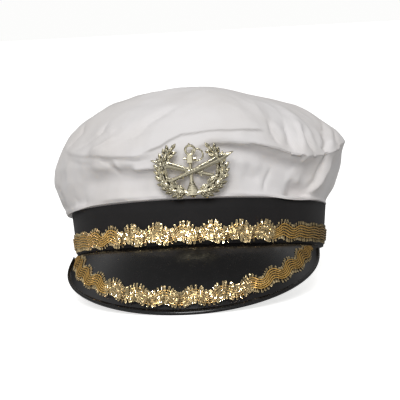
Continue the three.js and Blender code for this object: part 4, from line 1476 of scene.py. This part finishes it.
def braid_along(name, guide, tree):
    """Runs the gimp rule along a guide line and keeps the result as a plain mesh."""
    line = bpy.data.objects.new(name, guide)
    bpy.context.scene.collection.objects.link(line)
    rule = line.modifiers.new("gimp", "NODES")
    rule.node_group = tree
    for socket in tree.interface.items_tree:
        if socket.in_out == "INPUT" and socket.name in GIMP:
            rule[socket.identifier] = GIMP[socket.name]
    made = bpy.data.meshes.new_from_object(
        line.evaluated_get(bpy.context.evaluated_depsgraph_get())
    )
    line.modifiers.remove(rule)
    bpy.data.objects.remove(line)
    made.name = name
    piece = bpy.data.objects.new(name, made)
    bpy.context.scene.collection.objects.link(piece)
    return piece


def metal_thread(name, hue, roughness, roundness, hidden):
    """Thread wound with gilt foil: warm metal that sparkles, because each turn of foil catches the
    light at its own angle, and the less so the rounder it is. Its colour is darkened by painted
    shade between the threads, where the lobes of the braid meet and on the thread hidden under the
    cords, and on a cord where loops have risen over it."""
    material, tree = new_material(name)

    def vector(operation, first, second):
        inputs = {0: first, ("Scale" if operation == "SCALE" else 1): second}
        return add_node(tree, "ShaderNodeVectorMath", inputs, operation=operation)

    def known(attribute, output="Fac"):
        return add_node(tree, "ShaderNodeAttribute", attribute_name=attribute).outputs[output]

    def stepped(value, low, high):
        limits = {"Value": value, "From Min": low, "From Max": high}
        return add_node(tree, "ShaderNodeMapRange", limits, interpolation_type="SMOOTHSTEP").outputs[0]

    def mixed(share, one, two):
        inputs = {"Factor": share, "A": one, "B": two}
        return add_node(tree, "ShaderNodeMix", inputs, data_type="RGBA").outputs[2]

    place = add_node(tree, "ShaderNodeTexCoord").outputs["Object"]
    foil = add_node(tree, "ShaderNodeTexVoronoi", {"Vector": place, "Scale": 1 / (FOIL_TURN * MM)})
    centred = vector("SUBTRACT", foil.outputs["Color"], (0.5, 0.5, 0.5))
    least, most = FOIL_SCATTER
    spread = {0: known("rise"), 1: most - least, 2: least}
    spread = add_node(tree, "ShaderNodeMath", spread, operation="MULTIPLY_ADD").outputs[0]
    scattered = vector("SCALE", centred.outputs[0], spread)
    flat = known("out", "Vector")
    own = add_node(tree, "ShaderNodeNewGeometry").outputs["Normal"]
    leant = vector("ADD", scattered.outputs[0], vector("SCALE", flat, 1 - roundness).outputs[0])
    bent = vector("ADD", leant.outputs[0], vector("SCALE", own, roundness).outputs[0])
    facet = vector("NORMALIZE", bent.outputs[0], (0, 0, 0))
    tone = add_node(tree, "ShaderNodeSeparateColor", {"Color": foil.outputs["Color"]}).outputs
    dull = [DULL_FOIL * c for c in linear(hue)[:3]] + [1.0]
    colour = mixed(tone["Green"], dull, linear(hue))
    # Painted shade: the sides of a thread that turn away from the braid's face, and the joins between
    # lobes, darken toward the shade colour.
    facing = vector("DOT_PRODUCT", own, flat).outputs["Value"]
    seen = add_node(
        tree,
        "ShaderNodeMath",
        {0: stepped(facing, *THREAD_SHADE), 1: stepped(known("join"), *JOIN_SHADE)},
        operation="MULTIPLY",
    ).outputs[0]
    # More painted shade: on thread under the cords, and on a cord where loops have risen over it.
    if hidden:
        bare = {0: stepped(known("near_end"), *LOOP_END), 1: known("rise")}
        bare = add_node(tree, "ShaderNodeMath", bare, operation="MAXIMUM").outputs[0]
    else:
        bare = stepped(known("rise"), *CORD_SHADE)
    seen = add_node(tree, "ShaderNodeMath", {0: seen, 1: bare}, operation="MULTIPLY").outputs[0]
    shader = add_node(
        tree,
        "ShaderNodeBsdfPrincipled",
        {
            "Base Color": mixed(seen, linear(GOLD_SHADE), colour),
            "Metallic": FOIL_METAL,
            "Roughness": roughness,
            "Normal": facet.outputs[0],
        },
    )
    finish_material(tree, shader)
    return material


def ellipse_run():
    """The band's lower edge by length: a table of lengths and azimuths, from the front round."""
    azimuths = np.linspace(0, math.tau, ELLIPSE_STEPS + 1)
    places = np.array([around_band(a, 0, 0) for a in azimuths])
    steps = np.linalg.norm(np.diff(places, axis=0), axis=1)
    return np.concatenate([[0], np.cumsum(steps)]), azimuths


def on_band(along, over):
    """A place on the band and its normal, by distance along the braid and over its middle line."""
    azimuth = float(np.interp(along % BAND_LENGTH, BAND_LENGTHS, BAND_AZIMUTHS))
    rise = BAND_BRAID["back_height"] - BAND_BRAID["height"]
    height = BAND_BRAID["height"] + rise * (1 - math.cos(azimuth)) / 2 + over
    lean = math.atan2(BAND["flare"], BAND["height"])
    normal = Vector((
        BAND["half_depth"] * math.sin(azimuth), -BAND["half_width"] * math.cos(azimuth), 0
    )).normalized() * math.cos(lean)
    normal.z = -math.sin(lean)
    return around_band(azimuth, BAND["flare"] * height / BAND["height"], height), normal


def peak_length(u):
    """How far the upper face reaches from the band to the rim, in mm."""
    return (peak_face(u, 1) - peak_face(u, 0)).length


def on_peak_face(u, t):
    """A place on the peak's upper face, in the hat's own millimetres."""
    face = peak_face(u, t)
    return around_band(peak_azimuth(u), face.x, face.y)


def inset_at(u):
    """How far inside the rim the braid's middle line runs: further at the sides than in front."""
    share = float(smooth_step(abs(u), PEAK_BRAID["side_from"], PEAK_BRAID["side_to"]))
    return PEAK_BRAID["inset"] + (PEAK_BRAID["side_inset"] - PEAK_BRAID["inset"]) * share


def peak_run():
    """The braid's middle line on the peak by length: a table of lengths and places u."""
    least = (
        PEAK_BRAID["side_inset"] - BRAID["width"] / 2
        + PEAK_BRAID["band_clearance"] + PEAK_BRAID["end_width"]
    )
    end = 1.0
    while peak_length(end) < least:
        end -= 0.002
    places = np.linspace(-end, end, PEAK_STEPS + 1)
    points = np.array([on_peak_face(u, 1 - inset_at(u) / peak_length(u)) for u in places])
    steps = np.linalg.norm(np.diff(points, axis=0), axis=1)
    return np.concatenate([[0], np.cumsum(steps)]), places


def on_peak(along, over):
    """A place on the peak and its normal, by distance along the braid and over its middle line."""
    u = float(np.interp(along, PEAK_LENGTHS, PEAK_PLACES))
    from_rim = min(inset_at(u) + over, peak_length(u) - PEAK_BRAID["band_clearance"])
    t = 1 - from_rim / peak_length(u)
    step = 0.01
    sideways = on_peak_face(u + step, t) - on_peak_face(u - step, t)
    downward = on_peak_face(u, t + step) - on_peak_face(u, t - step)
    return on_peak_face(u, t), downward.cross(sideways).normalized()


BAND_LENGTHS, BAND_AZIMUTHS = ellipse_run()
BAND_LENGTH = BAND_LENGTHS[-1]
BAND_BRAID["period"] = BAND_LENGTH / round(BAND_LENGTH / BAND_BRAID["period"])
PEAK_LENGTHS, PEAK_PLACES = peak_run()
BAND_BRAID.update(length=BAND_LENGTH, closed=True)
PEAK_BRAID.update(length=PEAK_LENGTHS[-1], closed=False)
gimp = gimp_tree(
    metal_thread("gilt_cord", GOLD_CORD, roughness=0.4, roundness=0.5, hidden=False),
    metal_thread("gilt_foil_thread", GOLD_THREAD, roughness=0.22, roundness=0.3, hidden=True),
)
for name, node, run, place in (
    ("band_gimp_braid", "band_braid", BAND_BRAID, on_band),
    ("peak_gimp_braid", "peak_braid", PEAK_BRAID, on_peak),
):
    braid = braid_along(name, braid_guide(name + "_guide", run, place), gimp)
    shiny.link(braid)
    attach(braid, "root")
    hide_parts(node)


# ------------------------------------------------------------------ badge
# The badge is one die casting in pale gilt metal: an anchor over two crossed blades in a laurel
# wreath. Its parts are built up on the badge's own flat plane, fused, and bent round the crown.

# Where its middle is: bearing in degrees, mm over the band's foot and out from the band's upper edge.
# The badge leans forward by some degrees and is bent round the crown.
BADGE = {"azimuth": 2.5, "height": 47.5, "out": 10.4, "lean": 19, "bend_radius": 110}
CAST_GRAIN = 0.24  # mm, the finest detail that the casting keeps
BARS = [
    # Start and end lie on the badge's plane, in mm. Two half-widths are those at the start and the
    # end, and three those at the start, the bend and the end; so are three fronts. The front is how
    # far forward the bar stands, and its ridge is a part of that.
    # the anchor's shank, its stock and the block between them, and the knop on its ring
    {"start": (-0.7, 6), "end": (0.2, -16.5), "widths": (0.9, 1.2, 5.2), "bend": 0.6,
     "thickness": 2.6, "front": (3.1, 3.1, 3.3), "ridge": 0.9},
    {"start": (-4.8, 7.6), "end": (3.4, 7.6), "widths": (0.85, 0.85),
     "thickness": 1.9, "front": 2.7, "ridge": 0.4},
    {"start": (-0.8, 4.9), "end": (-0.8, 10.2), "widths": (1.9, 1.7),
     "thickness": 2.6, "front": 3.5, "ridge": 0.2},
    {"start": (-1.1, 15.6), "end": (-1, 17.8), "widths": (1.0, 0.4),
     "thickness": 1.6, "front": 2.4, "ridge": 0.3},
    # the blades, points up, then the guard and the grip of each
    {"start": (-26.2, 6.6), "end": (13.8, -4.2), "widths": (0.2, 2.3, 0.8), "bend": 0.2,
     "thickness": 2.2, "front": 2.8, "ridge": 0.5},
    {"start": (27.4, 10.6), "end": (-13.9, -6.9), "widths": (0.2, 2.4, 0.9), "bend": 0.2,
     "thickness": 2.6, "front": 3.5, "ridge": 0.55},
    {"start": (-7.2, -2.2), "end": (-5.4, -6), "widths": (0.6, 0.6),
     "thickness": 1.6, "front": 2.6, "ridge": 0.2},
    {"start": (7.2, -0.4), "end": (5.9, -4.4), "widths": (0.6, 0.6),
     "thickness": 1.6, "front": 2.6, "ridge": 0.2},
    {"start": (-9.6, -5.1), "end": (-14.6, -7.2), "widths": (1.2, 1.3),
     "thickness": 2.2, "front": 2.9, "ridge": 0.3},
    {"start": (9.8, -3.1), "end": (14.4, -4.4), "widths": (1.1, 1.2),
     "thickness": 2.0, "front": 2.5, "ridge": 0.3},
]
BAR_STEP = 1.5  # mm between a bar's sections
RINGS = [
    {"middle": (-0.4, 13.2), "radius": 3.0, "tube": 0.85, "twist": 0},
    {"middle": (3.9, 9.9), "radius": 3.9, "tube": 0.62, "twist": 13},
]
RING_STEPS = (48, 8)  # round the ring and round its section
RING_FORWARD = 1.4
ROPE_LAY = 0.28  # how deep the strands of a rope ring are, as a share of its tube
ARMS = {
    # radius across, radius up, height of the middle, and the angles where the arc starts and ends
    "lower": (14.8, 14.6, -2.4, 195, 345),
    "upper": (13.3, 12.6, -1.2, 198, 342),
    "steps": 28,
    "back": 0.6,
    "lower_edge": 1.7,
    "upper_edge": 1.9,
    "ridge": 3.0,
}
FOOT = {"place": (1.0, -18.6), "spread": 0.1, "pull": 0.85}  # the sharp foot under the anchor's shank
FLUKES = [((-12.6, -7.6), 135), ((12.6, -7.0), 45)]  # where the arms' blades stand, and their turn
FLUKE = {"length": 8.0, "width": 4.6, "forward": 2.2, "ridge": 1.0, "dish": 0.1}
LEAF = {"steps": 7, "thickness": 1.3, "arch": 0.5, "rim": 0.1, "fullness": (0.85, 0.8)}
WREATH = {
    "stem": [(2, -15.5), (11, -14), (18, -8.5), (20.5, 0), (18, 7.5), (12.5, 14)],
    "stem_steps": 24,
    "pairs": 12,  # of side leaves, each with a leaf between them
    "first": 0.08,  # where on the stem they start, as a share of it
    "spread": 40,  # degrees between the stem and a side leaf
    "offset": 0.91,  # mm by which a side leaf stands off the stem
    "length": 6.8,
    "width": 3.8,
    "shrink": 0.18,  # how much smaller the leaf at the tip is
    "overhang": 0.42,  # how far a leaf reaches from its place to its middle, as a share of its length
    "middle_leaf": 2.3,  # mm by which it stands forward
    "side_leaf": 1.3,
    "stagger": 0.5,  # and every other one more than that
}
STEM = {"widths": (0.55, 0.55), "thickness": 1.1, "front": 1.3, "ridge": 0.3}
BERRIES = {"count": 7, "from": 0.2, "run": 0.66, "out": 2.6, "radius": 0.75, "forward": 2.0}
PALE_GILT = "#dbd3b8"
# the colour of the shade painted in the casting's recesses
GILT_SHADE = "#40392a"
RECESS = 1.8  # mm within which a wall puts the gilt in shade
PITS = 1.4  # mm between the casting's faint pits


def badge_vertex(across, forward, up):
    """From the badge's plane, in mm, to the frame: bent back round the crown, leant and placed."""
    bent = Vector((across, -forward + across * across / (2 * BADGE["bend_radius"]), up))
    turn = Matrix.Rotation(math.radians(BADGE["azimuth"]), 3, "Z")
    turn = turn @ Matrix.Rotation(math.radians(BADGE["lean"]), 3, "X")
    seat = around_band(
        math.radians(BADGE["azimuth"]), BAND["flare"] + BADGE["out"], BADGE["height"]
    )
    return STAND @ (seat + turn @ bent)


def join_rings(shape, rings):
    """Walls between a row of sections with as many corners each, and a cap at both ends."""
    for one, two in zip(rings[:-1], rings[1:]):
        corners = len(one)
        for i in range(corners):
            n = (i + 1) % corners
            shape.faces.new((one[i], one[n], two[n], two[i]))
    shape.faces.new(rings[0][::-1])
    shape.faces.new(rings[-1])


def add_bar(shape, start, end, widths, thickness, front, ridge, bend=0.5):
    """A straight bar with a raised ridge down its front. Its width changes evenly between its ends,
    or by way of a third width at the bend."""
    a, b = Vector(start), Vector(end)
    run = (b - a).normalized()
    side = Vector((run.y, -run.x))
    fronts = np.broadcast_to(front, 3)
    back = fronts[0] - thickness
    steps = max(1, round((b - a).length / BAR_STEP))
    rings = []
    for i in range(steps + 1):
        share = i / steps
        middle = a.lerp(b, share)
        half = np.interp(share, (0, 1) if len(widths) == 2 else (0, bend, 1), widths)
        top = np.interp(share, (0, bend, 1), fronts)
        edge = top - ridge
        outline = [(-half, back), (half, back), (half, edge), (0, top), (-half, edge)]
        rings.append([
            shape.verts.new((middle.x + side.x * w, f, middle.y + side.y * w)) for w, f in outline
        ])
    join_rings(shape, rings)


def add_ring(shape, middle, radius, tube, twist):
    """A ring of round section. Twisted, it is laid like rope."""
    around, section = RING_STEPS
    rings = []
    for i in range(around):
        angle = math.tau * i / around
        rings.append([])
        for k in range(section):
            turn = math.tau * k / section
            lay = 1 + (ROPE_LAY * math.cos(2 * turn + twist * angle) if twist else 0)
            out = radius + tube * lay * math.cos(turn)
            rings[-1].append(shape.verts.new((
                middle[0] + out * math.cos(angle),
                RING_FORWARD + tube * lay * math.sin(turn),
                middle[1] + out * math.sin(angle),
            )))
    for i in range(around):
        one, two = rings[i], rings[(i + 1) % around]
        for k in range(section):
            n = (k + 1) % section
            shape.faces.new((one[k], one[n], two[n], two[k]))


def add_arms(shape):
    """The anchor's arms: a crescent between two arcs, with a sharp foot and a ridge along it."""
    rings = []
    for i in range(ARMS["steps"] + 1):
        share = i / ARMS["steps"]
        pair = []
        for across, up, height, start, end in (ARMS["lower"], ARMS["upper"]):
            angle = math.radians(start + (end - start) * share)
            pair.append(Vector((across * math.cos(angle), height + up * math.sin(angle))))
        lower, upper = pair
        near = max(0.0, 1 - abs(share - 0.5) / FOOT["spread"])
        lower = lower.lerp(Vector(FOOT["place"]), FOOT["pull"] * near)
        outline = [
            (lower, ARMS["back"]),
            (upper, ARMS["back"]),
            (upper, ARMS["upper_edge"]),
            ((lower + upper) / 2, ARMS["ridge"]),
            (lower, ARMS["lower_edge"]),
        ]
        rings.append([shape.verts.new((place.x, front, place.y)) for place, front in outline])
    join_rings(shape, rings)


def add_leaf(shape, place, turn, length, width, forward, ridge=0.9, dish=0.25):
    """A pointed leaf with a raised midrib and dished halves, lying at an angle on the plane."""
    along = Vector((math.cos(turn), math.sin(turn)))
    side = Vector((-along.y, along.x))
    steps, rim = LEAF["steps"], LEAF["rim"]
    widest, blunt = LEAF["fullness"]
    tip, tail = Vector(place) + along * length / 2, Vector(place) - along * length / 2

    def vertex(point, height):
        return shape.verts.new((point.x, height, point.y))

    rows = []
    for i in range(1, steps):
        share = i / steps
        half = width / 2 * math.sin(math.pi * share ** widest) ** blunt
        middle = tail.lerp(tip, share)
        lift = forward + LEAF["arch"] * math.sin(math.pi * share)
        rows.append([
            vertex(middle - side * half, lift - rim),
            vertex(middle - side * half * 0.5, lift - dish),
            vertex(middle, lift + ridge * math.sin(math.pi * share)),
            vertex(middle + side * half * 0.5, lift - dish),
            vertex(middle + side * half, lift - rim),
            vertex(middle, forward - LEAF["thickness"]),
        ])
    ends = [vertex(tail, forward), vertex(tip, forward)]
    for one, two in zip(rows[:-1], rows[1:]):
        for i in range(6):
            shape.faces.new((one[i], two[i], two[(i + 1) % 6], one[(i + 1) % 6]))
    for i in range(6):
        shape.faces.new((ends[0], rows[0][i], rows[0][(i + 1) % 6]))
        shape.faces.new((rows[-1][i], ends[1], rows[-1][(i + 1) % 6]))


def add_ball(shape, place, radius, forward):
    """A berry."""
    made = bmesh.ops.create_icosphere(shape, subdivisions=2, radius=radius)
    for vertex in made["verts"]:
        vertex.co += Vector((place[0], forward, place[1]))


def along_stem(share):
    """A place on the wreath's stem and its direction, by share of its length."""
    points = np.array(WREATH["stem"], float)
    knots = np.linspace(0, 1, len(points))
    fine = np.linspace(0, 1, 121)
    # The straight runs between the points are eased into one curve.
    line = np.stack([np.interp(fine, knots, points[:, i]) for i in (0, 1)], axis=1)
    for _ in range(60):
        line[1:-1] = (line[:-2] + 2 * line[1:-1] + line[2:]) / 4
    steps = np.linalg.norm(np.diff(line, axis=0), axis=1)
    run = np.concatenate([[0], np.cumsum(steps)]) / steps.sum()
    place = Vector([np.interp(share, run, line[:, i]) for i in (0, 1)])
    ahead = Vector([np.interp(min(1, share + 0.02), run, line[:, i]) for i in (0, 1)])
    behind = Vector([np.interp(max(0, share - 0.02), run, line[:, i]) for i in (0, 1)])
    return place, (ahead - behind).normalized()


def add_wreath(shape, side):
    """One branch of the wreath: a stem, pairs of leaves along it, a leaf at its tip and berries."""
    last = None
    for i in range(WREATH["stem_steps"] + 1):
        place, _ = along_stem(i / WREATH["stem_steps"])
        place.x *= side
        if last is not None:
            add_bar(shape, last, place, **STEM)
        last = place
    pairs = WREATH["pairs"]
    for i in range(pairs + 1):
        share = WREATH["first"] + (1 - WREATH["first"]) * i / pairs
        place, run = along_stem(share)
        heading = math.atan2(run.y, run.x)
        size = 1.0 - WREATH["shrink"] * share
        length = WREATH["length"] * size
        for turn in ((-1, 0, 1) if i < pairs else (0,)):
            leaf = heading + turn * math.radians(WREATH["spread"])
            middle = place + Vector((math.cos(leaf), math.sin(leaf))) * WREATH["overhang"] * length
            middle += Vector((-run.y, run.x)) * turn * WREATH["offset"]
            direction = leaf if side > 0 else math.pi - leaf
            forward = WREATH["middle_leaf"] if turn == 0 else WREATH["side_leaf"]
            forward += WREATH["stagger"] * ((i + (turn > 0)) % 2)
            add_leaf(
                shape, (middle.x * side, middle.y), direction, length, WREATH["width"] * size, forward
            )
    for i in range(BERRIES["count"]):
        place, run = along_stem(BERRIES["from"] + BERRIES["run"] * i / BERRIES["count"])
        out = Vector((-run.y, run.x)) * BERRIES["out"] * (1 if i % 2 else -1)
        where = ((place.x + out.x) * side, place.y + out.y)
        add_ball(shape, where, BERRIES["radius"], BERRIES["forward"])


def gilt():
    """Die-cast zinc with a pale gilt plating: bright and warm on its faces, darkened by painted shade
    in its recesses, with the slight unevenness of a cheap casting."""
    material, tree = new_material("pale_gilt_casting")
    place = add_node(tree, "ShaderNodeTexCoord").outputs["Object"]
    # Painted shade: the colour darkens where the casting's own walls are near, as in its recesses.
    recess = add_node(
        tree, "ShaderNodeAmbientOcclusion", {"Distance": RECESS * MM}, samples=6, only_local=True
    )
    depth = add_node(
        tree, "ShaderNodeMapRange", {"Value": recess.outputs["AO"], "From Min": 0.35, "From Max": 0.85}
    )
    colour = add_node(
        tree,
        "ShaderNodeMix",
        {"Factor": depth.outputs[0], "A": linear(GILT_SHADE), "B": linear(PALE_GILT)},
        data_type="RGBA",
    )
    pits = add_node(
        tree, "ShaderNodeTexNoise", {"Vector": place, "Scale": 1 / (PITS * MM), "Detail": 3.0}
    )
    relief = add_node(
        tree,
        "ShaderNodeBump",
        {"Height": pits.outputs["Fac"], "Strength": 0.5, "Distance": 0.25 * MM},
    )
    shader = add_node(
        tree,
        "ShaderNodeBsdfPrincipled",
        {
            "Base Color": colour.outputs[2],
            "Metallic": 1.0,
            "Roughness": 0.2,
            "Normal": relief.outputs["Normal"],
        },
    )
    finish_material(tree, shader)
    return material


casting = bmesh.new()
for bar in BARS:
    add_bar(casting, **bar)
for ring in RINGS:
    add_ring(casting, **ring)
add_arms(casting)
for place, turn in FLUKES:
    add_leaf(casting, place, math.radians(turn), **FLUKE)
for side_of_badge in (-1, 1):
    add_wreath(casting, side_of_badge)
bmesh.ops.recalc_face_normals(casting, faces=casting.faces)
parts_mesh = bpy.data.meshes.new("badge_casting")
casting.to_mesh(parts_mesh)
casting.free()
plated = gilt()
parts_piece = show("badge_casting", parts_mesh, plated)
fuse = parts_piece.modifiers.new("fuse", "REMESH")
fuse.mode = "VOXEL"
fuse.voxel_size = CAST_GRAIN
fuse.use_smooth_shade = True
soften = parts_piece.modifiers.new("soften", "SMOOTH")
soften.factor = 0.5
soften.iterations = 2
badge_mesh = bpy.data.meshes.new_from_object(
    parts_piece.evaluated_get(bpy.context.evaluated_depsgraph_get())
)
bpy.data.objects.remove(parts_piece)
for vertex in badge_mesh.vertices:
    vertex.co = badge_vertex(vertex.co.x, vertex.co.y, vertex.co.z)
turned = bmesh.new()
turned.from_mesh(badge_mesh)
bmesh.ops.recalc_face_normals(turned, faces=turned.faces)
turned.to_mesh(badge_mesh)
turned.free()
badge_mesh.name = "badge_casting"
badge = show("badge_casting", badge_mesh, plated)
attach(badge, "root")
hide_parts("badge")

# The pin behind the badge is the CAD model's own, in the same plated metal.
pin = frame["nodes"]["badge_pin"]
for material_slot in pin.material_slots:
    material_slot.material = plated
